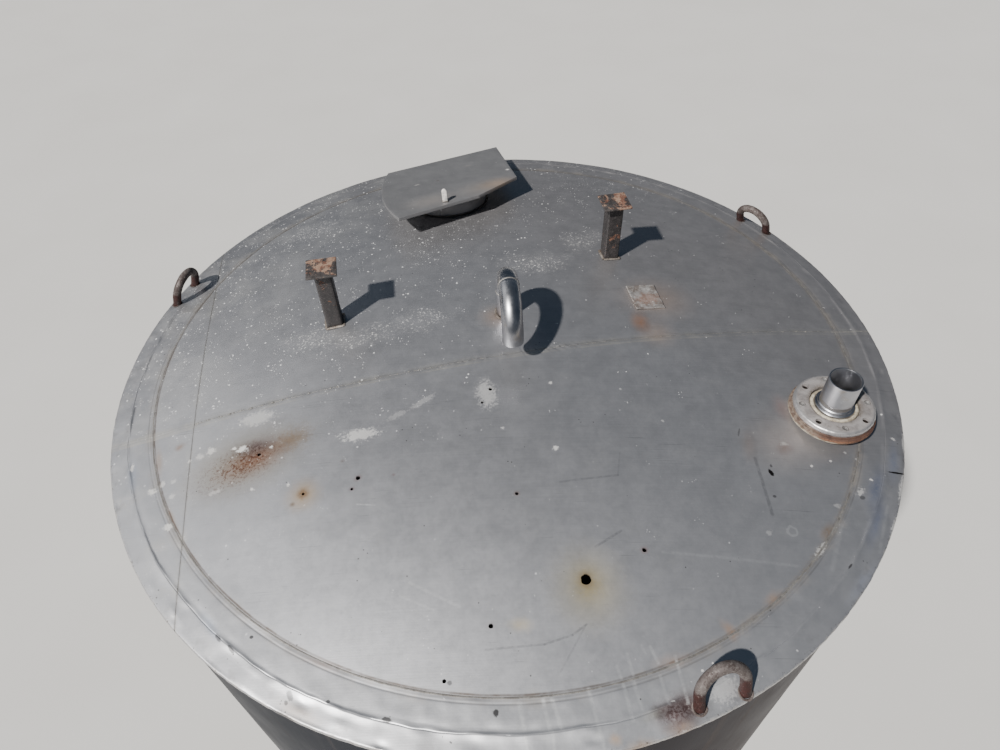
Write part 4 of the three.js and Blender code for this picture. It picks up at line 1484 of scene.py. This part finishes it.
def mineral_film(m):
    """Pale film on the outer band and in loose clouds."""
    film = m.mul(m.ramp(m.patch, 0.50, 0.72), m.ramp(m.grain, 0.30, 0.62))
    m.over((0.60, 0.585, 0.55), film, m.add(0.10, m.mul(m.ramp(m.r, 1.148, 1.190), 0.10)))
    left = m.mul(m.ramp(m.r, 1.09, 1.12), m.fall(m.x, -0.90, -0.55, 0.30))
    m.over((0.56, 0.525, 0.47), film, left)
    side = m.ramp(m.blend(m.x, -0.55, m.y, 0.25), 0.15, 0.75)
    m.over((0.64, 0.625, 0.60), side, m.ramp(m.cloud, 0.40, 0.62), 0.40)


def round_seam(m, rr):
    """Brown heat marks and dark dirt lines along the round weld."""
    heat = m.mul(m.near(rr, 1.078, 0.004, 0.026), m.ramp(m.patch, 0.42, 0.66))
    m.over((0.34, 0.295, 0.245), heat, 0.40)
    m.over((0.20, 0.175, 0.15), m.near(rr, 1.0795, 0.0008, 0.0034), 0.22)
    groove = m.near(m.r, 1.0860, 0.0010, 0.0030)
    m.over((0.17, 0.16, 0.15), groove, m.ramp(m.cloud, 0.36, 0.56, 0.05, 0.34))
    crisp = m.ramp(m.x, 0.10, 0.75, 1.0, 0.30)
    share = m.mul(crisp, m.ramp(m.patch, 0.34, 0.60, 0.40, 0.85))
    m.over((0.125, 0.098, 0.080), m.near(rr, 1.0686, 0.0008, 0.0040), share)
    cream = m.near(rr, WELD_R, 0.002, 0.016)
    m.over((0.50, 0.435, 0.36), cream, m.sub(1.0, crisp), m.ramp(m.grain, 0.40, 0.60, 0.10, 0.65))
    return heat


def straight_seams(m):
    """Pale and dark lines along the two straight seams."""
    v = m.sub(m.vec("DOT_PRODUCT", m.flat, ACROSS), CROSS_V)
    lap = m.fall(m.math("ABSOLUTE", m.add(v, 0.0135)), 0.0006, 0.0032)
    m.over((0.56, 0.525, 0.46), lap, m.ramp(m.patch, 0.40, 0.60, 0.10, 0.45))
    v = m.math("ABSOLUTE", v)
    m.over((0.60, 0.57, 0.51), m.fall(v, 0.004, 0.020), m.ramp(m.patch, 0.40, 0.68, 0.10, 0.45))
    line = m.near(v, 0.0050, 0.0004, 0.0018)
    m.over((0.20, 0.19, 0.18), line, m.ramp(m.patch, 0.40, 0.60, 0.05, 0.25))
    u = m.math("ABSOLUTE", m.sub(m.vec("DOT_PRODUCT", m.flat, ALONG), LEFT_U))
    m.over((0.20, 0.185, 0.17), m.fall(u, 0.0010, 0.0055), m.ramp(m.patch, 0.36, 0.60, 0.12, 0.42))
    m.over((0.58, 0.57, 0.54), m.fall(u, 0.004, 0.022), m.ramp(m.patch, 0.45, 0.7, 0.05, 0.45))


def lip_deposits_and_slope_shade(m):
    scab = m.noise(m.pos, 46, 4, 0.75)
    lip = m.mul(m.ramp(m.muladd(scab, 0.008, m.r), 1.1995, 1.2040), m.ramp(scab, 0.40, 0.60, 0.05, 0.65))
    m.over((0.44, 0.40, 0.345), lip, 0.70)
    m.over((0.09, 0.070, 0.058), m.mul(m.ramp(m.r, 1.188, 1.198), m.ramp(m.grain, 0.58, 0.66)), 0.75)
    # painted shade: dark grey blotches on the outer slope between the fold and the lip
    dull = m.ramp(m.noise(m.pos, 15, 3, 0.7), 0.54, 0.68)
    m.over((0.22, 0.21, 0.21), m.mul(m.ramp(m.r, 1.150, 1.185), dull), 0.35)
    return lip


def rust_marks(m, region, rag, stain):
    grit = m.ramp(stain, 0.36, 0.60, 0.62, 1.0)
    for x, y, rx, ry, turn, tone, strength in RUST_SPOTS:
        if not in_region(region, x, y, 1.5 * max(rx, ry)):
            continue
        place = (x, y, rx * 1.2, ry * 1.2, turn)
        mask = m.mul(m.blot(rag if rx > 0.012 else m.flat, stain, place, 0.45, 0.0, 1.2), grit, strength)
        m.tint(tone, mask)
        m.soil(m.mul(mask, 0.22))


def rust_patch(m, rag, stain):
    """The large patch: warm halo, brown core that fades out, dark and pale speckle."""
    masks = []
    for place, ragged, reach, share, tone in PATCH:
        masks.append(m.blot(rag, stain, place, ragged, 0.0, reach))
        m.tint(tone, masks[-1], m.ramp(stain, *share))
    ember = m.blot(rag, stain, (-0.590, -0.395, 0.070, 0.045, 22), 0.9, 0.0, 1.2)
    m.tint((0.76, 0.60, 0.44), ember, 0.85)
    fleck = m.blot(rag, stain, (-0.720, -0.460, 0.180, 0.088, 22), 0.6, 0.1, 1.2)
    m.tint((0.42, 0.23, 0.17), fleck, m.ramp(m.grain, 0.53, 0.59))
    m.over((0.62, 0.58, 0.54), fleck, m.ramp(m.fine, 0.62, 0.70, 0.0, 0.7))
    m.soil(m.mul(masks[1], 0.35))


def lug_stain(m, rag):
    """The dark stain beside the front lug."""
    burn = m.blot(rag, m.grain, (0.352, -1.108, 0.066, 0.036, 15), 1.0, 0.1, 1.2)
    m.tint((0.32, 0.22, 0.21), burn, m.ramp(m.grain, 0.46, 0.56, 0.15, 1.0))
    m.over((0.58, 0.54, 0.52), burn, m.ramp(m.fine, 0.60, 0.68, 0.0, 0.45))


def dark_marks(m, region):
    for x, y, rx, ry, turn, strength in DARK_SPOTS:
        if in_region(region, x, y, 1.5 * max(rx, ry)):
            mask = m.blot(m.flat, m.grain, (x, y, rx, ry, turn), 0.5, 0.7, 1.15)
            m.over((0.016, 0.014, 0.014), mask, strength)


def pale_marks(m, region, rag):
    """Single pale drops, three painted glints beside the front lug, and wide areas where small drops lie
    close together.
    """
    drops = m.mul(m.fall(m.cells(m.flat, 78, (2.71, 0.93, 0)), 0.15, 0.27), m.ramp(m.fine, 0.46, 0.54))
    drops = m.math("MAXIMUM", drops, m.mul(m.ramp(m.grain, 0.55, 0.64), 0.7))
    for x, y, rx, ry, turn, strength in PALE_SPOTS:
        if not in_region(region, x, y, 1.8 * max(rx, ry)):
            continue
        place = (x, y, rx, ry, turn)
        if rx > 0.055:
            wide = m.blot(rag, m.patch, place, 1.2, 0.3, 1.3)
            mask = m.mul(wide, m.muladd(drops, 0.90, 0.07), strength * 1.3)
        else:
            mask = m.mul(m.blot(rag if rx > 0.012 else m.flat, m.grain, place, 1.3, 0.5, 1.15), strength)
        m.over((0.60, 0.59, 0.565), mask)
        m.soil(m.mul(mask, 0.8))


def placed_scratches(m, region, rag):
    worn = m.ramp(m.noise(m.pos, 90, 3, 0.6), 0.34, 0.58, 0.35, 1.0)
    for a, b, width, strength, light in SCRATCHES:
        if not in_region(region, (a[0] + b[0]) / 2, (a[1] + b[1]) / 2, 0.5 * math.dist(a, b) + 0.01):
            continue
        mask = m.fall(m.stroke(m.flat, a, b), width * (0.1 if light else 0.4), width)
        m.over((0.74, 0.74, 0.74) if light else (0.13, 0.13, 0.14), mask, worn, strength)
    ring = (0.715, -0.694, 0.012, 0.012)
    if in_region(region, *ring[:2], 0.02):
        m.over((0.72, 0.72, 0.72), m.near(m.spot(rag, *ring), 1.0, 0.1, 0.35), 0.38)


def specks(m, wob):
    """Pale specks, thicker on the left and behind the middle, and small dark pits."""
    spread = m.ramp(m.blend(m.x, -0.5, m.y, 0.5), -0.35, 0.55)
    calm = m.ramp(m.y, -0.55, -0.10, 0.45, 1.0)
    loose = shaken(m, wob, 0.006)
    for scale, size, low, high, strength in ((52, 0.20, 0.72, 0.55, 0.80), (110, 0.22, 0.70, 0.51, 0.65)):
        dist = m.cells(loose, scale, (scale * 0.13, 0.31, 0))
        lot = m.noise(m.vec("ADD", m.pos, (3.3, scale, 0)), 24, 1, 0.5)
        gate = m.math("GREATER_THAN", lot, m.mixf(spread, low, high))
        mask = m.mul(m.fall(dist, size * 0.45, size), gate, calm, strength)
        m.over((0.76, 0.76, 0.75), mask)
        m.soil(mask)
    lot = m.noise(m.vec("ADD", m.pos, (9.3, 1.1, 0)), 13, 1, 0.5)
    gate = m.math("GREATER_THAN", lot, 0.66)
    m.over((0.08, 0.075, 0.075), m.fall(m.cells(m.flat, 64, (5.13, 2.31, 0)), 0.08, 0.15), gate, 0.8)


def roof_steel(name, region):
    """Sheet of the roof with the marks that reach into its region."""
    m = Nodes(name)
    rough = steel_base(m, (0.352, 0.351, 0.363), (0.433, 0.432, 0.447), 9.45)
    m.flat = m.scaled(1, 1, 0)
    m.grain, m.patch = m.noises((130, 3, 0.8), (11, 4, 0.7))
    m.x, m.y = m.axis("X"), m.axis("Y")
    m.r = m.vec("LENGTH", m.flat)
    wob = m.noise(m.pos, 26, 3, 0.65, out="Color")
    rag = shaken(m, wob, 0.020)
    painted_front_sheen(m)
    fine_scratches(m)
    mineral_film(m)
    heat = round_seam(m, m.add(m.r, m.mul(m.sub(m.cloud, 0.5), 0.006)))
    straight_seams(m)
    lip = lip_deposits_and_slope_shade(m)
    m.dirt = m.math("MAXIMUM", m.mul(heat, 0.12), m.mul(lip, 0.4))
    stain = m.blend(m.grain, 0.65, m.fine, 0.35)
    rust_marks(m, region, rag, stain)
    if in_region(region, -0.705, -0.445, 0.2):
        rust_patch(m, rag, stain)
    if in_region(region, 0.355, -1.110, 0.1):
        lug_stain(m, rag)
    dark_marks(m, region)
    pale_marks(m, region, rag)
    placed_scratches(m, region, rag)
    specks(m, wob)
    return m.finish_dirty(rough, ROOF_METAL, (m.blend(m.fine, 0.5, m.brush, 0.35), 0.35, 0.0006), 0.75, 0.35)


# other materials


def weld_metal(name, dark, light, rough=0.5):
    m = Nodes(name)
    a, b = m.noises((30, 5, 0.7), (160, 5, 0.75))
    m.colour = m.mix(m.ramp(a, 0.38, 0.62), dark, light)
    m.over((0.16, 0.11, 0.08), m.ramp(b, 0.55, 0.72), 0.6)
    return m.finish(m.ramp(b, 0.3, 0.7, rough - 0.12, rough + 0.16), 0.7, (b, 0.5, 0.0006))


def wall_steel():
    """Rolled wall sheet: upright brushing, brown runs under the lip and splashes near the floor; painted
    reflection: dark bluish near the lip and warm towards +x.
    """
    m = Nodes("wall_steel")
    x, z = m.axis("X"), m.axis("Z")
    big = m.noise(m.scaled(1.0, 1.0, 0.45), 1.5, 3, 0.5)
    cloud, fine = m.noises((5.0, 4, 0.6), (70, 3, 0.7))
    even = m.ramp(m.blend(big, 0.6, cloud, 0.4), 0.30, 0.70)
    m.colour = m.mix(even, (0.084, 0.087, 0.095), (0.107, 0.109, 0.117))
    # painted reflection: warmer towards +x, for brown ground mirrored in the steel
    m.over((0.128, 0.100, 0.084), m.ramp(x, -0.30, 0.85), 0.78)
    # painted reflection: near the lip the wall keeps a dark bluish tone for the dark surroundings it mirrors;
    # the courses further below are painted lighter
    lighter_below_lip = m.fall(m.muladd(cloud, 0.5, z), LIP - 1.55, LIP - 0.20)
    m.over(m.mix(cloud, (0.150, 0.141, 0.134), (0.215, 0.203, 0.194)), lighter_below_lip, 0.80)
    brush = m.noise(m.scaled(160, 160, 2.2), 1.0, 3, 0.65)
    m.over((0.150, 0.144, 0.142), m.ramp(brush, 0.42, 0.70), 0.12)
    runs = m.noise(m.scaled(26, 26, 0.9), 1.0, 4, 0.6)
    run = m.mul(m.ramp(runs, 0.54, 0.72), m.mul(m.ramp(z, LIP - 0.9, LIP - 0.01), 0.22))
    m.over((0.150, 0.112, 0.088), run)
    m.over((0.17, 0.162, 0.156), m.ramp(m.noise(m.scaled(34, 34, 0.8), 1.0, 3, 0.6), 0.60, 0.74), 0.15)
    foot = m.mul(m.fall(m.add(z, m.mul(cloud, 0.35)), 0.16, 0.50), 0.60)
    m.over((0.22, 0.165, 0.12), foot)
    speck = m.mul(m.fall(m.cells(m.pos, 46), 0.07, 0.13), m.ramp(m.noise(m.pos, 9, 2, 0.5), 0.58, 0.64))
    m.over((0.12, 0.09, 0.075), speck, 0.6)
    m.dirt = m.math("MAXIMUM", run, foot)
    metal = m.sub(0.94, m.mul(m.dirt, 0.5), clamp=True)
    rough = m.add(m.ramp(cloud, 0.3, 0.7, 0.30, 0.38), m.mul(m.sub(brush, 0.5), 0.12))
    rough = m.add(rough, m.mul(m.dirt, 0.4), clamp=True)
    bump = (m.blend(brush, 0.7, fine, 0.3), 0.12, 0.0005)
    return m.finish(rough, metal, bump, Specular_Tint=(0.28, 0.29, 0.31))


def drawn_pipe():
    """Drawn stainless pipe: fine marks along it, a dull weld tint in places."""
    m = Nodes("pipe_drawn")
    a, b = m.noises((14, 5, 0.6), (120, 5, 0.7))
    m.colour = m.mix(m.ramp(a, 0.35, 0.65), (0.36, 0.36, 0.375), (0.50, 0.50, 0.52))
    m.over((0.42, 0.35, 0.27), m.ramp(m.noise(m.pos, 26, 4, 0.6), 0.56, 0.72), 0.5)
    specks = m.mul(m.fall(m.cells(m.pos, 130), 0.10, 0.20), m.ramp(m.noise(m.pos, 18, 2, 0.5), 0.56, 0.62))
    m.over((0.80, 0.79, 0.76), specks, 0.6)
    rough = m.add(m.ramp(a, 0.3, 0.7, 0.24, 0.34), m.mul(b, 0.10))
    return m.finish(rough, m.sub(1.0, m.mul(specks, 0.6)), (b, 0.18, 0.0003))


def lug_steel():
    """Bar worn to grey on top, red-brown primer left on the lower legs, pale scrapes."""
    m = Nodes("lug_steel")
    z = m.axis("Z")
    a, b, c = m.noises((22, 5, 0.65), (75, 5, 0.75), (190, 4, 0.75))
    m.colour = m.mix(m.ramp(a, 0.36, 0.62), (0.062, 0.048, 0.045), (0.160, 0.138, 0.130))
    m.over((0.046, 0.032, 0.029), m.ramp(b, 0.47, 0.60), 0.80)
    m.over((0.34, 0.32, 0.30), m.ramp(c, 0.57, 0.66), 0.60)
    primer = m.mix(m.ramp(b, 0.35, 0.65), (0.018, 0.006, 0.005), (0.042, 0.014, 0.012))
    low = m.fall(m.add(z, m.mul(m.sub(b, 0.5), 0.050)), LIP + 0.056, LIP + 0.066)
    m.over(primer, low)
    m.over((0.26, 0.20, 0.185), low, m.ramp(c, 0.60, 0.68), 0.7, 0.6)
    metal = m.mixf(low, m.ramp(b, 0.40, 0.64, 0.40, 0.08), 0.0)
    bump = (m.blend(b, 0.6, c, 0.4), 0.55, 0.0012)
    return m.finish(m.ramp(b, 0.3, 0.7, 0.50, 0.72), metal, bump, Specular_IOR_Level=0.30)


def rust_steel(name, pale, deep, dark, pale_share, scale):
    m = Nodes(name)
    a, b, c = m.noises((16 * scale, 6, 0.7, 0.5), (70 * scale, 6, 0.75), (210 * scale, 4, 0.8))
    m.colour = m.mix(m.ramp(a, 0.36, 0.60), deep, pale)
    m.over(dark, m.ramp(b, 0.52, 0.70), 0.75)
    m.over(shade(pale, 1.35, 1.4, 1.5), m.ramp(c, 0.56, 0.72), pale_share)
    return m.finish(m.ramp(b, 0.3, 0.7, 0.62, 0.90), 0.12, (m.blend(b, 0.6, c, 0.4), 0.7, 0.0016))


def stained_flange():
    """Rusty rim with a painted shade band along its upper edge, under the loose flange; brown-tan on its
    left, and cream at its left and lower side: old sealant, painted paler there also as a painted highlight
    on the side facing the light.
    """
    m = Nodes("rust_orange")
    x, z = m.axis("X"), m.axis("Z")
    a, b = m.noises((22, 4, 0.7), (85, 4, 0.75))
    m.colour = m.mix(m.ramp(a, 0.36, 0.60), (0.100, 0.042, 0.026), (0.205, 0.098, 0.056))
    m.over((0.042, 0.022, 0.016), m.ramp(b, 0.50, 0.66), 0.75)
    # painted shade: dark band along the upper edge, under the loose flange
    m.over((0.040, 0.022, 0.018), m.ramp(z, LIP + 0.0795, LIP + 0.0825), 0.70)
    # on the left the rim is brown-tan with cream below: old sealant, painted paler also as a painted
    # highlight on the side facing the light
    cream = m.mix(m.ramp(b, 0.40, 0.60), (0.20, 0.155, 0.110), (0.42, 0.375, 0.30))
    edge = m.muladd(a, 0.060, x)
    side = m.fall(edge, NOZZLE[0] - 0.055, NOZZLE[0] - 0.020)
    m.over(m.mix(m.ramp(b, 0.40, 0.60), (0.085, 0.058, 0.045), (0.21, 0.165, 0.13)), side, 0.85)
    side = m.mul(side, m.fall(m.muladd(b, 0.0030, z), LIP + 0.0770, LIP + 0.0795))
    left = m.fall(edge, NOZZLE[0] - 0.010, NOZZLE[0] + 0.050)
    low = m.mul(m.fall(z, LIP + 0.0735, LIP + 0.0760), left)
    m.over(cream, m.math("MAXIMUM", side, low), 0.90)
    return m.finish(m.ramp(b, 0.3, 0.7, 0.65, 0.92), 0.10, (b, 0.7, 0.0014))


# painted shade: near-black matte filling for the bolt holes
def hole_shade_black():
    m = Nodes("hole_shade_black")
    dust = m.ramp(m.noise(m.pos, 160, 3, 0.7), 0.42, 0.68)
    m.colour = m.mix(dust, (0.004, 0.0035, 0.003), (0.020, 0.013, 0.010))
    return m.finish(m.ramp(dust, 0.0, 1.0, 0.85, 0.97), Specular_IOR_Level=0.10)


def cast_flange():
    """Pale worn flange: dull grey with darker dirt in the pores, brighter rubbed rim."""
    m = Nodes("flange_cast")
    a, b, c = m.noises((26, 5, 0.65), (95, 5, 0.75), (230, 4, 0.8))
    r = m.vec("LENGTH", m.vec("SUBTRACT", m.scaled(1, 1, 0), (*NOZZLE, 0)))
    m.colour = m.mix(m.ramp(a, 0.35, 0.62), (0.235, 0.215, 0.208), (0.39, 0.365, 0.355))
    m.over((0.16, 0.135, 0.12), m.ramp(b, 0.54, 0.70), 0.55)
    m.over((0.17, 0.145, 0.125), m.fall(r, 0.068, 0.082), m.ramp(b, 0.40, 0.60, 0.4, 0.9))
    rub = m.mul(m.ramp(r, 0.098, 0.106), m.ramp(c, 0.34, 0.55, 0.3, 0.9))
    m.over((0.52, 0.505, 0.50), rub)
    rough = m.mixf(rub, m.ramp(b, 0.3, 0.7, 0.50, 0.72), 0.34)
    return m.finish(rough, m.mixf(rub, 0.45, 0.85), (m.blend(b, 0.6, c, 0.4), 0.5, 0.0010))


def sealant():
    m = Nodes("sealant_cream")
    x, z = m.axis("X"), m.axis("Z")
    a, b = m.noises((40, 5, 0.65), (170, 5, 0.75))
    m.colour = m.mix(m.ramp(a, 0.35, 0.62), (0.27, 0.225, 0.165), (0.46, 0.415, 0.325))
    m.over((0.13, 0.100, 0.070), m.ramp(b, 0.52, 0.66), 0.75)
    # painted shade: the lower cream bead is painted dark brown on its right side, away from the light
    right = m.ramp(x, NOZZLE[0] - 0.045, NOZZLE[0] + 0.010)
    m.over((0.060, 0.030, 0.022), m.fall(z, LIP + 0.074, LIP + 0.078), right, 0.92)
    return m.finish(m.ramp(b, 0.3, 0.7, 0.5, 0.78), 0.0, (b, 0.6, 0.0012))


def chipped_paint(name, paint, bare, wear):
    m = Nodes(name)
    a, b, c = m.noises((12, 6, 0.7, 0.4), (70, 5, 0.7), (190, 4, 0.8))
    m.colour = m.mix(m.ramp(b, 0.35, 0.65), paint, shade(paint, 1.9, 1.8, 1.8))
    chip = m.ramp(m.add(a, m.mul(m.sub(c, 0.5), 0.25)), wear, wear + 0.03)
    m.over(m.mix(m.ramp(b, 0.4, 0.6), (0.115, 0.048, 0.030), bare), chip)
    m.over((0.36, 0.34, 0.31), m.ramp(c, 0.55, 0.75), 0.35)
    rough = m.mixf(chip, m.ramp(b, 0.3, 0.7, 0.42, 0.60), 0.82)
    return m.finish(rough, 0.0, (m.sub(m.mul(c, 0.3), chip), 0.5, 0.0008))


def hatch_steel():
    """Duller brown-grey sheet with an orange stain towards its front right corner."""
    m = Nodes("hatch_steel")
    flat = m.scaled(1, 1, 0)
    rough = steel_base(m, (0.225, 0.222, 0.225), (0.300, 0.296, 0.298), 33.0)
    grain = m.noise(m.pos, 110, 5, 0.8)
    for x, y, rx, ry, strength, tone in HATCH_STAINS:
        mask = m.mul(m.blot(flat, grain, (x, y, rx * 1.2, ry * 1.2, 24), 0.4, 0.0, 1.15), strength)
        m.over(tone, mask)
        m.soil(mask)
    gate = m.math("GREATER_THAN", m.noise(m.pos, 20, 2, 0.5), 0.62)
    m.over((0.70, 0.69, 0.67), m.fall(m.cells(flat, 60, (1.7, 0.4, 0)), 0.09, 0.17), gate, 0.8)
    return m.finish_dirty(rough, 0.60, (m.add(m.fine, m.dirt), 0.3, 0.0006), 0.55, 0.3)


def pad_steel():
    m = Nodes("pad_steel")
    a, b = m.noises((30, 5, 0.7), (110, 5, 0.8))
    m.colour = m.mix(m.ramp(a, 0.38, 0.62), (0.22, 0.185, 0.165), (0.42, 0.40, 0.385))
    stain = m.blot(m.scaled(1, 1, 0), b, (0.466, 0.100, 0.050, 0.034, 20), 1.6, 0.4, 1.1)
    m.over((0.165, 0.085, 0.060), stain, 0.65)
    pale = m.mul(m.ramp(b, 0.57, 0.70), 0.8)
    m.over((0.70, 0.685, 0.66), pale)
    metal = m.sub(0.6, m.mul(m.math("MAXIMUM", stain, pale), 0.5), clamp=True)
    return m.finish(m.ramp(b, 0.3, 0.7, 0.42, 0.72), metal, (b, 0.6, 0.0012))


# camera, light and floor

CAMERA_AT = (0, -1.6116, 6.5344)
CAMERA_LENS = 25.56
CAMERA_TURN = (-0.44, 47.05, -2.07)
SUN_HEIGHT = math.radians(47)
SUN_HEADING = Vector((0.707, 0.707, 0)).normalized()
SKY = (0.48, 0.69, 1.0, 1)


def place_camera():
    data = bpy.data.cameras.new("camera")
    data.sensor_width = 36
    data.lens = CAMERA_LENS
    data.clip_start = 0.05
    data.clip_end = 200
    cam = add_object("camera", data)
    yaw, pitch, roll = (math.radians(angle) for angle in CAMERA_TURN)
    forward = Vector((math.sin(yaw) * math.cos(pitch), math.cos(yaw) * math.cos(pitch), -math.sin(pitch)))
    right = Vector((math.cos(yaw), -math.sin(yaw), 0))
    up = right.cross(forward)
    rolled_right = right * math.cos(roll) + up * math.sin(roll)
    rolled_up = up * math.cos(roll) - right * math.sin(roll)
    turn = Matrix((rolled_right, rolled_up, -forward)).transposed()
    cam.matrix_world = Matrix.Translation(CAMERA_AT) @ turn.to_4x4()
    bpy.context.scene.camera = cam


def point_along(ob, direction):
    ob.rotation_mode = "QUATERNION"
    ob.rotation_quaternion = direction.to_track_quat("-Z", "Y")


def place_lights():
    world = bpy.data.worlds.new("studio")
    world.use_nodes = True
    sky = world.node_tree.nodes["Background"]
    sky.inputs["Color"].default_value = SKY
    sky.inputs["Strength"].default_value = 0.10
    bpy.context.scene.world = world
    sun = bpy.data.lights.new("key", "SUN")
    sun.energy = 7.0
    sun.angle = math.radians(2.0)
    sun.color = (1.0, 0.975, 0.94)
    point_along(add_object("key", sun), SUN_HEADING * math.cos(SUN_HEIGHT) - UP * math.sin(SUN_HEIGHT))
    soft = bpy.data.lights.new("soft_left", "AREA")
    soft.shape = "RECTANGLE"
    soft.size = 5.0
    soft.size_y = 4.0
    soft.energy = 60
    box = add_object("soft_left", soft)
    box.location = (-5.0, 1.5, 8.5)
    point_along(box, Vector((0, 0, LIP)) - box.location)


def place_floor():
    ob = lathe("floor", ((0.001, 0.0), (40.0, 0.0), (40.0, -0.05), (0.001, -0.05)), 96, (0, 0, -0.002))
    m = Nodes("floor_pale")
    m.colour = m.mix(m.noise(m.pos, 0.7, 4, 0.5), (0.56, 0.545, 0.52), (0.62, 0.61, 0.59))
    ob.data.materials.append(m.finish(0.85))


# making

place_camera()
place_lights()
place_floor()
ROOF = {"crown": {}, "ring": {}}
for part in ("front", "rear", "left"):
    stripes = range(3) if part == "front" else (None,)
    for kind, label in (("crown", "crown"), ("ring", "rim")):
        sheets = [roof_steel("%s_steel_%s_%s" % (label, part, k), (kind, part, k)) for k in stripes]
        ROOF[kind][part] = sheets
wall = wall_steel()
weld = weld_metal("weld_brown", (0.13, 0.115, 0.10), (0.26, 0.235, 0.21))
weld_pale = weld_metal("weld_pale", (0.27, 0.258, 0.24), (0.42, 0.40, 0.37), 0.55)
weld_soft = weld_metal("weld_soft", (0.22, 0.205, 0.19), (0.33, 0.315, 0.295))
weld_lug = weld_metal("weld_lug", (0.085, 0.060, 0.054), (0.22, 0.185, 0.172), 0.65)
weld_rusty = weld_metal("weld_rusty", (0.17, 0.135, 0.11), (0.34, 0.305, 0.27), 0.6)
stud = weld_metal("stud_grey", (0.25, 0.235, 0.225), (0.40, 0.385, 0.37))
rust_tones = ((0.23, 0.145, 0.095), (0.115, 0.062, 0.042), (0.055, 0.036, 0.030))
rust_foot = rust_steel("rust_foot", *rust_tones, 0.25, 0.6)
tab_paint = chipped_paint("tab_pale", (0.42, 0.415, 0.40), (0.30, 0.20, 0.14), 0.60)
post_paint = chipped_paint("post_black", (0.020, 0.018, 0.018), (0.20, 0.095, 0.055), 0.60)
saddle_paint = chipped_paint("saddle_black", (0.030, 0.027, 0.026), (0.26, 0.17, 0.12), 0.50)
pipe = drawn_pipe()
hatch = hatch_steel()
place = hatch_matrix()
build_crown(ROOF["crown"])
build_ring(ROOF["ring"])
build_welds(weld_pale, weld_soft)
build_wall(wall, weld)
build_vent(pipe, weld_pale, weld_rusty)
build_lugs(lug_steel(), weld_lug)
build_nozzle(pipe, cast_flange(), stained_flange(), sealant(), stud, weld_rusty, hole_shade_black())
hatch_cover(place, hatch)
hatch_curb(place, hatch, weld)
hatch_tab(place, tab_paint, weld)
build_posts(post_paint, saddle_paint, weld_rusty)
build_pad(pad_steel())
build_foot(rust_foot, wall, weld)
